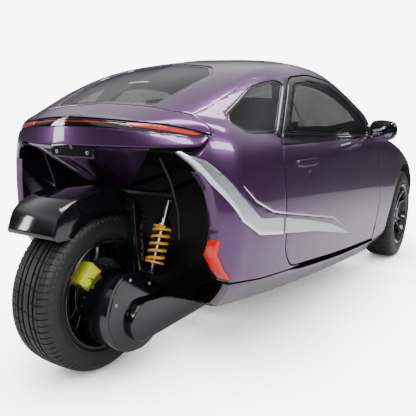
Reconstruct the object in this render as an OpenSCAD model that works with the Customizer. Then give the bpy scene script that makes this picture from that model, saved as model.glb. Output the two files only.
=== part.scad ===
// Three wheeled car: two steered wheels in front, one wheel on a swing arm behind.
// +Z up, front towards -Y, the car's left is +X. The origin is on the floor, at the
// middle of the overall box. Lengths along the body are given from the rear axle.

/* [Overall] */
// Distance from the front axle to the rear axle
wheelbase = 2535; // [2300:5:3100]
// Bumper face to the front axle
front_overhang = 680; // [560:5:830]
// Width of the body at the front wings
body_w = 1532; // [1300:2:1840]
// Height of the roof above the floor
roof_h = 1366; // [1150:2:1650]
// Floor to the underside of the sills
ground_gap = 170; // [140:1:205]

/* [Body shell] */
// Thickness of a whole side wall, door or roof
wall = 44; // [36:1:54]
// Thickness of the front wings, bonnet and other single skins
skin_t = 5; // [4:0.5:8]
// Thickness of the bonnet with its inner frame
lid_t = 22; // [18:1:28]
// Shut line between a body panel and its neighbour
panel_gap = 4; // [3:0.5:5]
// Shut line around a door or the bonnet
door_gap = 7; // [6:0.5:9]
// Wider gap in front of a door, where its edge swings in
hinge_gap = 9; // [8:0.5:12]
// Gap behind the bonnet, where its rear edge swings in
lid_gap = 14; // [13:0.5:18]
// Thickness of the window glass
glass_t = 5; // [4:0.5:6]
// Depth of the glass below the outer skin
glass_in = 5; // [4:0.5:9]
// Room between glass and its frame
seal_gap = 0.3; // [0.2:0.1:1]

/* [Wheels] */
// Outer radius of the tyres
tyre_r = 334; // [290:1:400]
// Width of a tyre
tyre_w = 215; // [180:1:240]
// Radius of the rim's lip
rim_r = 231; // [200:1:250]
// Front wheel centres, distance apart
track = 1266; // [1180:2:1500]
// Radius of the front stub axles
spindle_r = 18; // [15:0.5:22]
// Radius of the rear axle
axle_r = 12.5; // [10:0.5:16]
// Radial play of a wheel on its axle
bearing_play = 0.05; // [0.02:0.01:0.1]
// Radius of the brake discs
disc_r = 140; // [120:1:145]
// Room between a front tyre and the edge of its arch
arch_gap = 52; // [46:1:70]
// Number of twin spokes in a wheel
spokes = 5; // [4:1:7]

/* [Suspension] */
// Kingpin inside the wheel's centre plane
king_in = 74; // [70:1:80]
// Ball joints above and below the front axle
king_half = 128; // [115:1:132]
// Radius of a suspension coil spring
spring_r = 44; // [38:1:50]
// Pivot of the swing arm, ahead of the rear axle
swing_l = 585; // [540:5:640]
// Pivot of the swing arm above the floor
swing_z = 235; // [215:1:255]
// Half the distance between the swing arm's legs
arm_x = 176; // [165:1:195]
// Width of each leg of the swing arm
arm_w = 46; // [36:1:54]

/* [Cabin] */
// Width of one seat
seat_w = 440; // [380:2:470]
// Height of the seat cushion above the cabin floor
seat_h = 230; // [190:2:260]
// Radius of the steering wheel
wheel_r = 180; // [165:1:190]

/* [Hidden] */
$fn = 64;

purple = "#5b4470";
dark = "#141416";
glass_grey = "#4a4f55";
silver = "#c9ccd0";
lime = "#d5cf2a";
amber = "#f0b21c";
red = "#c8202c";

// Axles in the part's own frame
overall_l = front_overhang + wheelbase + tyre_r;
rear_axle_y = overall_l / 2 - tyre_r;
front_axle_y = rear_axle_y - wheelbase;

// The body's shape is drawn at these sizes and stretched to the ones above
drawn_wheelbase = 2535;
drawn_overhang = 680;
drawn_w = 1532;
drawn_roof = 1366;
drawn_gap = 170;

function X(x) = x * body_w / drawn_w;
function Z(z) = ground_gap + (z - drawn_gap) * (roof_h - ground_gap) / (drawn_roof - drawn_gap);
function Y(y) = y > -drawn_wheelbase
    ? rear_axle_y + y * wheelbase / drawn_wheelbase
    : front_axle_y + (y + drawn_wheelbase) * front_overhang / drawn_overhang;

// ---- curves -------------------------------------------------------------

// Value of column c at y in a table of stations, on a smooth curve through them
function station(t, y, i = 0) =
    i >= len(t) - 2 || y <= t[i + 1][0] ? i : station(t, y, i + 1);
function slope(t, i, c) =
    let (a = max(i - 1, 0), b = min(i + 1, len(t) - 1))
    (t[b][c] - t[a][c]) / (t[b][0] - t[a][0]);
function at(t, y, c) =
    let (i = station(t, y), h = t[i + 1][0] - t[i][0], s = (y - t[i][0]) / h,
         p0 = t[i][c], p1 = t[i + 1][c], m0 = slope(t, i, c) * h, m1 = slope(t, i + 1, c) * h)
    (2 * s^3 - 3 * s^2 + 1) * p0 + (s^3 - 2 * s^2 + s) * m0
    + (3 * s^2 - 2 * s^3) * p1 + (s^3 - s^2) * m1;

// A corner of an outline, rounded by a share k of its two sides, in n steps
function corner(a, p, b, k, n) =
    let (s = p + (a - p) * k / 2, e = p + (b - p) * k / 2)
    [for (i = [0 : n]) let (u = i / n) s * (1 - u)^2 + p * 2 * u * (1 - u) + e * u^2];
function unit(v) = v / norm(v);
// An outline with every corner rounded to radius r, or less where a side is short
function soft(pts, r, n = 2) = [
    for (i = [0 : len(pts) - 1])
        let (p = pts[i], a = pts[(i + len(pts) - 1) % len(pts)], b = pts[(i + 1) % len(pts)],
             d = min(r, norm(a - p) / 2.05, norm(b - p) / 2.05),
             s = p + unit(a - p) * d, e = p + unit(b - p) * d)
        for (j = [0 : n]) let (u = j / n) s * (1 - u)^2 + p * 2 * u * (1 - u) + e * u^2
];
function side(pts) = [for (p = pts) [Y(p[0]), Z(p[1])]];
function plan(pts) = [for (p = pts) [X(p[0]), Y(p[1])]];
function mirrored(pts) = concat(pts, [for (i = [len(pts) - 1 : -1 : 0]) if (pts[i][0] > 0) [-pts[i][0],
    pts[i][1]]]);

// ---- body form ------------------------------------------------------------

nose_y = -3215;
nose_round_y = -2750;
tail_y = 85;
tail_round_y = -200;
screen_y = -2205;
screen_round_y = -1790;

// Lower body: y, then half-width and height of the sill, crease, widest line,
// shoulder and deck edge, then the height of the deck
low = [
    [-3215, 600, 262, 690, 310, 740, 450, 680, 572, 480, 628, 642],
    [-3050, 600, 205, 700, 270, 750, 460, 695, 662, 500, 738, 755],
    [-2760, 600, 178, 710, 258, 762, 490, 715, 768, 530, 852, 868],
    [-2450, 612, 172, 716, 255, 766, 510, 726, 846, 560, 915, 932],
    [-2100, 640, 170, 708, 252, 750, 540, 706, 915, 560, 970, 986],
    [-1800, 640, 170, 702, 255, 737, 560, 694, 948, 540, 985, 998],
    [-1200, 548, 170, 690, 300, 724, 590, 682, 968, 500, 1000, 1012],
    [-730, 455, 172, 656, 340, 708, 610, 664, 982, 450, 1022, 1035],
    [-370, 352, 180, 620, 378, 676, 630, 632, 1002, 400, 1062, 1077],
    [-200, 330, 190, 592, 405, 650, 640, 598, 1014, 370, 1090, 1104],
    [-50, 320, 200, 570, 425, 640, 650, 580, 1016, 350, 1084, 1098],
    [85, 320, 200, 560, 430, 640, 650, 565, 1006, 340, 1058, 1072]
];
// Greenhouse: y, half-width at the belt, half-width and height of the rail, height on the centre line
high = [
    [-2205, 680, 640, 935, 962],
    [-1960, 668, 622, 1040, 1108],
    [-1760, 662, 590, 1135, 1220],
    [-1600, 660, 566, 1200, 1300],
    [-1480, 659, 552, 1240, 1340],
    [-1300, 657, 538, 1284, 1362],
    [-1100, 655, 528, 1304, 1366],
    [-900, 650, 522, 1302, 1358],
    [-620, 638, 515, 1258, 1312],
    [-350, 604, 492, 1166, 1224],
    [-100, 540, 440, 1062, 1112],
    [20, 500, 410, 1010, 1058]
];
belt_low = 900;
belt_z = 975;
roof_crown = 14;
crown_at = 0.62;

function ends(y, y0, y1, n) = let (t = (y - y0) / (y1 - y0)) t <= 0 ? 1 : (1 - min(t, 1)^n)^(1 / n);

// Control outline of one half of a section, inset by d
function low_poly(y, d) =
    let (q = low, e = ends(y, nose_round_y, nose_y, 2.5) * ends(y, tail_round_y, tail_y, 2),
         w = function(c) max(X(at(q, y, c)) * e - d, 8), h = function(c) Z(at(q, y, c)))
    [[0, h(2) + d], [w(1), h(2) + d], [w(3), h(4) + d * 0.4], [w(5), h(6)],
     [w(7), h(8) - d * 0.3], [max(w(9), 5), h(10) - d], [0, h(11) - d]];
function high_poly(y, d) =
    let (q = high, e = ends(y, screen_round_y, screen_y, 2),
         w = function(c) max(X(at(q, y, c)) * e - d, 8), z = Z(at(q, y, 4)) - d)
    [[0, Z(belt_low) - 60], [w(1), Z(belt_low) - 60], [w(1), Z(belt_z)], [w(2), Z(at(q, y, 3)) - d * 0.7],
     [w(2) * crown_at, z - roof_crown], [0, z]];

function half_low(y, d) = let (p = low_poly(y, d)) concat(
    [p[0]], corner(p[0], p[1], p[2], 0.4, 1), corner(p[1], p[2], p[3], 0.24, 1),
    corner(p[2], p[3], p[4], 1, 4), corner(p[3], p[4], p[5], 0.8, 4),
    corner(p[4], p[5], p[6], 1, 2), [p[6]]);
function half_high(y, d) = let (p = high_poly(y, d)) concat(
    [p[0], p[1]], corner(p[1], p[2], p[3], 0.3, 1),
    corner(p[2], p[3], p[4], 0.62, 4), corner(p[3], p[4], p[5], 0.9, 2), [p[5]]);
function section(h, y) = [
    for (p = h) [p[0], y, p[1]],
    for (i = [len(h) - 2 : -1 : 1]) [-h[i][0], y, h[i][1]]
];

// The solid between two sections with the same number of points
module slab(a, b) {
    n = len(a);
    hull() polyhedron(concat(a, b), concat(
        [[for (i = [0 : n - 1]) i]], [[for (i = [n - 1 : -1 : 0]) n + i]],
        [for (i = [0 : n - 1]) [(i + 1) % n, i, n + i, n + (i + 1) % n]]));
}
module loft(secs) for (i = [0 : len(secs) - 2]) slab(secs[i], secs[i + 1]);

low_y = concat([-3215, -3203, -3170, -3110, -3030], [for (y = [-2910 : 190 : -1200]) y],
    [-1020, -840, -660, -500, -370, -250, -140, -50, 20, 60, 85]);
high_y = concat([-2205, -2187, -2140, -2060], [for (y = [-1960 : 140 : -1400]) y],
    [-1260, -1110, -960, -820, -690, -560, -440, -320, -200, -90, 20]);

module form(d) {
    loft([for (y = low_y) section(half_low(y, d), Y(clamp(y, nose_y + d, tail_y - d)))]);
    loft([for (y = high_y) section(half_high(y, d), Y(clamp(y, screen_y + d, 20)))]);
}
function clamp(y, a, b) = min(max(y, a), b);
module skin(a, b) {
    difference() {
        form(a);
        form(b);
    }
}
module both() {
    children();
    mirror([1, 0, 0]) children();
}

// ---- outlines: side views are [y, z], views from above are [x, y] ------------

door_front = [[-1842, 274], [-1866, 600], [-1786, 925], [-1774, 1028], [-1702, 1118], [-1502, 1192],
    [-1292, 1256]];
door_back = [[-1000, 1268], [-775, 1240], [-522, 978], [-480, 900], [-480, 640], [-512, 480], [-600, 388]];
door_window = [[-1732, 946], [-1734, 1006], [-1652, 1096], [-1478, 1164], [-1272, 1226], [-1000, 1236],
    [-808, 1210], [-590, 988]];
quarter_window = [[-494, 990], [-702, 1208], [-640, 1222], [-540, 1206], [-440, 1178], [-240, 1070],
    [-224, 1042], [-290, 990]];
well_edge = [[-72, 940], [-40, 896], [-78, 790], [-92, 650], [-84, 540], [-120, 470], [-168, 418]];
rail_seam = [[-768, 1252], [-500, 1216], [-440, 1198], [-200, 1094], [-120, 1064]];
crease = [[-1842, 262], [-1200, 308], [-730, 350], [-600, 372], [-370, 388], [-168, 412]];
light_slot = [[140, 1054], [70, 1050], [0, 1036], [-100, 1008], [-170, 984], [-100, 980], [0, 1002],
    [70, 1016], [140, 1020]];
blade = [[-14, 930], [-70, 900], [-180, 762], [-300, 660], [-470, 640], [-470, 566], [-292, 594],
    [-180, 664], [-76, 812], [-44, 880]];
headlamp = [[-3125, 610], [-3080, 690], [-2850, 800], [-2800, 800], [-2900, 720], [-3060, 620]];
flank_lamp = [[-96, 640], [-112, 636], [-176, 470], [-158, 462]];
bonnet_plan = [[0, -3075], [300, -3055], [440, -2985], [515, -2760], [548, -2450], [552, -2150],
    [430, -2172], [0, -2210]];
windscreen_plan = [[0, -2176], [300, -2128], [560, -1975], [478, -1690], [430, -1600], [220, -1548],
    [0, -1540]];
rear_glass_plan = [[0, -98], [275, -104], [300, -200], [335, -440], [250, -560], [120, -606], [0, -618]];
front_seam_y = -2955;
cowl_y = -2230;
cowl_back_y = -1975;
cowl_half = 560;

// The area inside an outline, grown by g, in the part's own place
module side_area(pts, g = 0, r = 30) offset(delta = g) polygon(soft(side(pts), r));
module plan_area(pts, g = 0, r = 40) offset(delta = g) polygon(soft(plan(mirrored(pts)), r));
module through_side(x0 = 150) translate([x0, 0, 0]) rotate([90, 0, 90]) linear_extrude(body_w) children();
module through_top(z0 = 500) translate([0, 0, z0]) linear_extrude(roof_h) children();
module door_area(g = 0) side_area(concat(door_front, door_back), g, 45);
module cowl_area(g = 0) offset(delta = g)
    polygon(plan(mirrored([[0, cowl_y], [cowl_half, cowl_y], [cowl_half, cowl_back_y], [0, cowl_back_y]])));
module wheel_space(y, r) translate([0, y, tyre_r]) rotate([0, 90, 0]) cylinder(r = r, h = body_w, $fn = 72);

// ---- body panels --------------------------------------------------------------

module door_shell() color(purple) difference() {
    intersection() {
        skin(0, wall);
        through_side() door_area(-door_gap / 2);
    }
    through_side() side_area(door_window, 0, 25);
    hinge_pocket();
}
module door_left() color(purple) {
    door_shell();
    hinge_eye();
}
module door_right() mirror([1, 0, 0]) door_left();

module door_pane() color(glass_grey, 0.5) intersection() {
    skin(glass_in, glass_in + glass_t);
    through_side() side_area(door_window, -seal_gap, 25);
}
module door_glass_left() door_pane();
module door_glass_right() mirror([1, 0, 0]) door_pane();

module quarter_shell() color(purple) difference() {
    intersection() {
        skin(0, wall);
        through_side() difference() {
            polygon(side(concat([[-1010, 1264], [-1010, 372], [-600, 376], [-370, 392]],
                [for (i = [len(well_edge) - 1 : -1 : 0]) well_edge[i]],
                [[-112, 1000]],
                [for (i = [len(rail_seam) - 1 : -1 : 0]) rail_seam[i] - [0, joint_fit]])));
            door_area(door_gap / 2);
        }
    }
    through_side() side_area(quarter_window, 0, 25);
    through_side(body_w / 4) side_area(blade, 0, 12);
    through_side(0) side_area(flank_lamp, seal_gap, 3);
    slot_space(seal_gap);
}
module quarter_left() quarter_shell();
module quarter_right() mirror([1, 0, 0]) quarter_shell();

module quarter_glass() color(glass_grey, 0.5) both() intersection() {
    skin(glass_in, glass_in + glass_t);
    through_side() side_area(quarter_window, -seal_gap, 25);
}

module flank_blades() color(silver) both() intersection() {
    skin(2, wall * 0.5);
    through_side(body_w / 4) side_area(blade, -seal_gap, 12);
}

// The floor runs between the sills, from the firewall back to the rear bulkhead
floor_plan = [[0, -2146], [300, -2146], [595, -1960], [560, -1400], [480, -1000], [400, -680], [0, -680]];
firewall_y = -2130;
bulkhead_y = -680;
// Below the path of the bonnet's back edge
firewall_top = 848;
plate_t = 22;
module floor_area(g = 0) offset(delta = g) polygon(plan(mirrored(floor_plan)));
module cross_plate(y, half, z0, z1) translate([-X(half), Y(y) - plate_t, Z(z0)]) cube([2 * X(half),
    plate_t, Z(z1) - Z(z0)]);
module floor_pan() color(dark) {
    intersection() {
        skin(0, wall);
        translate([0, 0, ground_gap - 20]) linear_extrude(wall + 40) floor_area(-seal_gap);
    }
    for (y = [firewall_y, bulkhead_y]) {
        intersection() {
            form(wall + seal_gap);
            cross_plate(y, 740, 200, y == firewall_y ? firewall_top : 940);
        }
        cross_plate(y, 330, 190, 240);
    }
    // ears that hold the swing arm's pivot
    for (s = [-1, 1]) difference() {
        translate([s * (leg_in - 20) - 14, rear_axle_y - swing_l, swing_z]) rotate([90, 0, 90])
            linear_extrude(28) hull() {
            circle(38);
            translate([Y(bulkhead_y) - plate_t - rear_axle_y + swing_l, -30]) square([plate_t, 110]);
        }
        translate([-body_w, rear_axle_y - swing_l, swing_z]) rotate([0, 90, 0])
            cylinder(r = pivot_r + 0.1, h = 2 * body_w);
    }
}

module sills() color(purple) both() difference() {
    intersection() {
        skin(0, wall);
        through_side(0) difference() {
            polygon(side(concat([[-2120, 100], [-2120, 246], [-1842, 254]],
                [for (i = [1 : len(crease) - 1]) crease[i] - [0, panel_gap]], [[-330, 250], [-560, 100]])));
        }
    }
    translate([0, 0, ground_gap - 20]) linear_extrude(wall + 60) floor_area(seal_gap);
    cross_plate(bulkhead_y + 1, 332, 180, 241);
    translate([-arm_room, Y(bulkhead_y) - plate_t - 1, 0]) cube([2 * arm_room, 2 * swing_l, roof_h / 2]);
    wheel_space(front_axle_y, tyre_r + arch_gap);
}

module fender_shell() color(purple) difference() {
    intersection() {
        skin(0, skin_t);
        through_side(0) difference() {
            polygon(side([[front_seam_y + panel_gap / 2, 200], [-2100, 250], [-1840, 264], [-1790,
                800], [-1700, 940], [-1700, 1005],
                [-1990, 1010], [-2240, 1010], [front_seam_y + panel_gap / 2, 1000]]));
            door_area(hinge_gap - door_gap / 2);
        }
    }
    through_top() plan_area(bonnet_plan, door_gap / 2);
    through_top() plan_area(windscreen_plan, seal_gap);
    through_top() cowl_area();
    wheel_space(front_axle_y, tyre_r + arch_gap);
    through_side(X(lamp_x)) side_area(headlamp, 0, 20);
    translate([-body_w, -wheelbase * 2, 0]) cube([body_w, wheelbase * 4, 2 * roof_h]);
}
module fender_left() fender_shell();
module fender_right() mirror([1, 0, 0]) fender_shell();

module bonnet() color(purple) {
    difference() {
        intersection() {
            skin(0, lid_t);
            through_top() plan_area(bonnet_plan, -door_gap / 2);
        }
        both() through_side(X(lamp_x)) side_area(headlamp, door_gap, 20);
    }
    // hinge eyes under the rear corners
    for (s = [-1, 1]) translate([s * lid_pin_x, lid_axis_y, lid_axis_z]) difference() {
        hull() {
            translate([-5, 0, 0]) rotate([0, 90, 0]) cylinder(r = 15, h = 10);
            translate([-5, -55, 22]) cube([10, 70, 6]);
        }
        translate([-10, 0, 0]) rotate([0, 90, 0]) cylinder(r = pin_r + pin_play, h = 20);
    }
}
pin_r = 7;
pin_play = 0.3;
lid_pin_x = X(380);
lid_axis_y = Y(-2265);
lid_axis_z = Z(902);
// The posts' arms run below the rear edge's swing
lid_drop = 86;

// The door hinges: a pin on the post, an eye in the door
hinge_x = X(690);
hinge_y = Y(-1742);
hinge_zs = [Z(380), Z(800)];
hinge_h = 12;
module hinge_pocket() for (z = hinge_zs) translate([hinge_x, hinge_y, z]) intersection() {
    cylinder(r = 74, h = 44, center = true);
    translate([-100, -100, -30]) cube([112, 200, 60]);
}
module hinge_eye() for (z = hinge_zs) translate([hinge_x, hinge_y, z]) difference() {
    hull() {
        cylinder(r = 13, h = hinge_h, center = true);
        translate([14, -20, -hinge_h / 2]) cube([4, 40, hinge_h]);
    }
    cylinder(r = pin_r + pin_play, h = 40, center = true);
}
module post_arms() translate([hinge_x, hinge_y, 0]) for (z = hinge_zs) translate([0, 0, z]) {
    cylinder(r = pin_r, h = hinge_h + 12, center = true);
    for (s = [-1, 1]) translate([0, 0, s * (hinge_h / 2 + 3.5)]) linear_extrude(6, center = true) union() {
        circle(12);
        polygon([[-12, -4], [-46, 36], [-46, 66], [-30, 60], [10, 8]]);
    }
}
module hinge_posts() color(dark) {
    both() {
        post_arms();
        translate([hinge_x - 92, hinge_y + 36, Z(330)]) cube([50, 40, Z(850) - Z(330)]);
        // foot down to the flat of the floor
        translate([0, hinge_y + 76, 0]) rotate([90, 0, 0]) linear_extrude(40)
            polygon([[hinge_x - 91, Z(430)], [hinge_x - 91, Z(350)], [hinge_x - 225,
                ground_gap + wall + 0.3],
                [hinge_x - 275, ground_gap + wall + 0.3], [hinge_x - 275, ground_gap + wall + 25],
                    [hinge_x - 150, Z(430)]]);
    }
    for (s = [-1, 1]) translate([s * lid_pin_x, lid_axis_y, lid_axis_z]) {
        translate([-11, 0, 0]) rotate([0, 90, 0]) cylinder(r = pin_r, h = 22);
        for (x = [-12, 7]) translate([x, 0, 0]) rotate([90, 0, 90]) linear_extrude(5) union() {
            circle(13);
            polygon([[-13, 0], [-13, -lid_drop - 26], [Y(firewall_y)
                - lid_axis_y - plate_t - joint_fit, -lid_drop - 26],
                [Y(firewall_y) - lid_axis_y - plate_t - joint_fit, -lid_drop], [13, -lid_drop], [13, 0]]);
        }
    }
}

module cowl() color(dark) difference() {
    intersection() {
        skin(2, skin_t + 2);
        through_top() difference() {
            cowl_area(-joint_fit);
            plan_area(bonnet_plan, lid_gap - door_gap / 2);
            plan_area(windscreen_plan, seal_gap);
        }
    }
}

module front_bumper() color(purple) difference() {
    intersection() {
        skin(0, skin_t);
        union() {
            through_side(0) polygon(side([[-3400, 100], [-3400, 900], [front_seam_y - panel_gap / 2, 900],
                [front_seam_y - panel_gap / 2, 100]]));
            mirror([1, 0, 0]) through_side(0) polygon(side([[-3400, 100], [-3400, 900],
                [front_seam_y - panel_gap / 2, 900], [front_seam_y - panel_gap / 2, 100]]));
        }
    }
    through_top() plan_area(bonnet_plan, door_gap / 2);
    both() through_side(X(lamp_x)) side_area(headlamp, 0, 20);
}

module roof() color(purple) difference() {
    intersection() {
        skin(0, wall);
        both() through_side(-1) difference() {
            polygon(side(concat([[-1968, 1012], [-2100, 1500], [-93, 1500], [-93, 1082]],
                [for (i = [len(rail_seam) - 1 : -1 : 0]) rail_seam[i]],
                [[-1010, 1264.3], [-1012, 1200], [-1290, 1200], [-1600, 1100], [-1760, 1012]])));
            door_area(door_gap / 2);
        }
    }
    through_top() plan_area(windscreen_plan);
    through_top() plan_area(rear_glass_plan);
}
module windscreen() color(glass_grey, 0.5) intersection() {
    skin(glass_in, glass_in + glass_t);
    through_top(Z(900)) plan_area(windscreen_plan, -seal_gap);
}
module rear_glass() color(glass_grey, 0.5) intersection() {
    skin(glass_in, glass_in + glass_t);
    through_top(Z(900)) plan_area(rear_glass_plan, -seal_gap);
}

// Room for the light bar: the slot, as deep as the wall less its back
slot_back = 10;
module slot_space(g = 0) intersection() {
    difference() {
        form(-2);
        form(wall - slot_back);
    }
    both() through_side(-1) side_area(light_slot, g, 8);
}
tail_area = [[-88, 1200], [-88, 1080], [-118, 1056], [-106, 1000], [-66, 950], [-20, 944], [140, 944],
    [140, 1200]];
module tail_panel() color(purple) difference() {
    intersection() {
        skin(0, wall);
        both() through_side(-1) side_area(tail_area, 0, 2);
    }
    slot_space(seal_gap);
    through_top() plan_area(rear_glass_plan, seal_gap);
}
lamp_x = 250;
module light_bar() color(dark) difference() {
    intersection() {
        skin(6, wall - slot_back - seal_gap);
        both() through_side(-1) side_area(light_slot, -seal_gap, 8);
    }
    both() through_side(X(lamp_x)) side_area(light_slot, -10, 3);
}
module rear_lamps() color(red) both() {
    intersection() {
        skin(6, wall - slot_back - seal_gap);
        through_side(X(lamp_x)) side_area(light_slot, -10 - seal_gap, 3);
    }
    intersection() {
        skin(2, wall / 2);
        through_side(0) side_area(flank_lamp, 0, 3);
    }
}

// The apron hangs from the tail's lower lip and narrows towards its foot
apron_steps = 6;
function tail_edge(x) = Y(tail_round_y + (tail_y - tail_round_y) * sqrt(1 - (x / 575)^2));
module rear_apron() color(purple) for (i = [0 : apron_steps - 1]) hull() for (u = [i,
    i + 1] / apron_steps * 2) {
    translate([X(340 * (u - 1)), tail_edge(340 * (u - 1)) - 20, Z(944) - 4.3]) sphere(4, $fn = 8);
    translate([X(200 * (u - 1)), Y(-130), Z(775)]) sphere(4, $fn = 8);
}

// Holder of the number plate, under the tail's lip, with two bolt holes
plate_w = 240;
plate_h = 50;
plate_bolt_r = 3.5;
plate_bolts = 170;
module plate_bracket() color(dark) difference() {
    translate([-plate_w / 2, Y(71), Z(944) - joint_fit - plate_h]) cube([plate_w, 6, plate_h]);
    for (s = [-1, 1]) translate([s * plate_bolts / 2, Y(60), Z(944) - plate_h / 2 - 4])
        rotate([-90, 0, 0]) cylinder(r = plate_bolt_r, h = 30, $fn = 32);
}

housing = [[-679.7, 796], [-600, 868], [-450, 908], [-60, 927], [-60, 921], [-448, 902], [-597, 862],
    [-679.7, 788]];
module wheel_housing() color(dark) intersection() {
    form(wall + seal_gap);
    both() through_side(-1) polygon(side(housing));
}

module rear_windows() {
    rear_glass();
    quarter_glass();
}

module headlamps() color(glass_grey) both() intersection() {
    skin(3, 40);
    through_side(X(lamp_x)) side_area(headlamp, -seal_gap, 20);
}

// ---- cabin ----------------------------------------------------------------------

cabin_floor = ground_gap + wall;
battery_h = 110;
seat_x = 285;
seat_back_y = -990;
module battery_pack() color("#55585c")
    translate([-X(350), Y(seat_back_y - 470), cabin_floor + 0.7]) cube([2 * X(350), Y(seat_back_y + 30)
        - Y(seat_back_y - 470), battery_h]);
module one_seat() translate([0, Y(seat_back_y), cabin_floor]) {
    hull() for (x = [-1, 1], y = [-410, -60])
        translate([x * (seat_w / 2 - 50), y, battery_h + 1]) cylinder(r = 50, h = seat_h - battery_h,
            $fn = 24);
    hull() for (x = [-1, 1]) {
        translate([x * (seat_w / 2 - 50), -40, seat_h - 20]) sphere(45, $fn = 16);
        translate([x * (seat_w / 2 - 70), 110, seat_h + 540]) sphere(40, $fn = 16);
    }
    hull() for (x = [-1, 1]) {
        translate([x * 90, 100, seat_h + 570]) sphere(40, $fn = 16);
        translate([x * 85, 100, seat_h + 680]) sphere(38, $fn = 16);
    }
}
module seats() color("#2b2a2e") for (s = [-1, 1]) translate([s * X(seat_x), 0, 0]) one_seat();

module dash_block() translate([-X(590), 0, 0]) rotate([90, 0, 90]) linear_extrude(2 * X(590))
    polygon(soft(side([[-2129.6, 640], [-2129.6, 878], [-1850, 915], [-1745, 880], [-1760, 800],
        [-1850, 700]]), 30));

module dashboard() color(dark) dash_block();

steer_x = 300;
steer_y = -1560;
steer_z = 800;
module steering_wheel() color(dark) difference() {
    translate([X(steer_x), Y(steer_y), Z(steer_z)]) rotate([72, 0, 0]) {
        rotate_extrude() translate([wheel_r, 0]) circle(15, $fn = 24);
        cylinder(r = 50, h = 30, center = true);
        for (a = [0, 180, 270]) rotate([0, 0, a]) translate([0, -14, -6]) cube([wheel_r - 6, 28, 12]);
        cylinder(r = 22, h = -Y(steer_y - 300) + Y(steer_y));
    }
    translate([0, joint_fit, 0]) dash_block();
}

mirror_y = -1655;
mirror_z = 982;
module mirror_pod() color(dark) difference() {
    translate([X(690), Y(mirror_y), Z(mirror_z)]) {
        hull() for (x = [48, 118]) translate([x, x / -8, 0]) scale([1, 0.62, 0.95]) sphere(46, $fn = 16);
        hull() {
            translate([-30, -34, -52]) cube([14, 56, 30]);
            translate([30, -22, -34]) cube([30, 30, 16]);
        }
    }
    form(-seal_gap);
}
module mirror_left() mirror_pod();
module mirror_right() mirror([1, 0, 0]) mirror_pod();

// ---- wheels -----------------------------------------------------------------------

module turned() rotate([0, 90, 0]) rotate_extrude($fn = 96) children();

// Half profiles are [radius, x], closed by their mirror image
function closed(h) = concat(h, [for (i = [len(h) - 1 : -1 : 0]) if (h[i][1] > 0) [h[i][0], -h[i][1]]]);
seat_r = rim_r - 13;
flange_x = tyre_w / 2 - 10;
bead_fit = 0.2;
tyre_out = [[seat_r + bead_fit, flange_x - 26], [seat_r + bead_fit, flange_x - bead_fit], [rim_r + 6,
    flange_x - bead_fit],
    [rim_r + 14, flange_x + 4], [rim_r + 46, tyre_w / 2], [tyre_r - 30, tyre_w / 2 - 4], [tyre_r - 5,
        tyre_w / 2 - 24],
    [tyre_r, tyre_w / 4]];
tyre_in = [[seat_r - 5, flange_x - 26], [rim_r + 5, flange_x - 18], [rim_r + 44, tyre_w / 2 - 12],
    [tyre_r - 34, tyre_w / 2 - 16], [tyre_r - 16, tyre_w / 2 - 42]];
module tyre() color(dark) turned() difference() {
    polygon(soft(closed(tyre_out), 9));
    polygon(closed(tyre_in));
}
barrel_t = 7;
barrel_drop = 22;
barrel_half = [[seat_r - barrel_drop, 0], [seat_r - barrel_drop, flange_x - 55], [seat_r,
    flange_x - 40], [seat_r, flange_x],
    [rim_r, flange_x], [rim_r, flange_x + 5], [rim_r - 6, flange_x + 6], [seat_r - barrel_t, flange_x + 2],
    [seat_r - barrel_t, flange_x - 37], [seat_r - barrel_drop - barrel_t, flange_x - 53],
        [seat_r - barrel_drop - barrel_t, 0]];
barrel_in = seat_r - barrel_drop - barrel_t;
hub_r = 42;
hub_out = 62;
hub_back = 16;
disc_t = 10;
front_disc_x = -20;
rear_disc_x = -62;
module rim(bore_r, disc_x) color("#2e3034") {
    turned() polygon(closed(barrel_half));
    difference() {
        union() {
            translate([disc_x - hub_back, 0, 0]) rotate([0, 90, 0]) cylinder(r = hub_r,
                h = hub_out - disc_x + hub_back);
            translate([hub_out - 7, 0, 0]) rotate([0, 90, 0]) cylinder(r = hub_r + 30, h = 17);
            for (i = [0 : spokes - 1], s = [-1, 1]) rotate([i * 360 / spokes + s * 13, 0, 0])
                translate([hub_out - 4, -9, hub_r + 8]) cube([16, 18, seat_r - hub_r - 12]);
            translate([disc_x, 0, 0]) rotate([0, 90, 0]) cylinder(r = disc_r, h = disc_t);
        }
        translate([-body_w, 0, 0]) rotate([0, 90, 0]) cylinder(r = bore_r, h = 2 * body_w);
    }
}
module front_place(s) translate([s * track / 2, front_axle_y, tyre_r]) mirror([s < 0 ? 1 : 0, 0, 0])
    children();
module rear_place() translate([0, rear_axle_y, tyre_r]) children();
module tyre_front_left() front_place(1) tyre();
module tyre_front_right() front_place(-1) tyre();
module tyre_rear() rear_place() tyre();
module rim_front_left() front_place(1) rim(spindle_r + bearing_play, front_disc_x);
module rim_front_right() front_place(-1) rim(spindle_r + bearing_play, front_disc_x);
module rim_rear() rear_place() rim(axle_r + bearing_play, rear_disc_x);

// ---- front suspension ---------------------------------------------------------------

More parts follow.
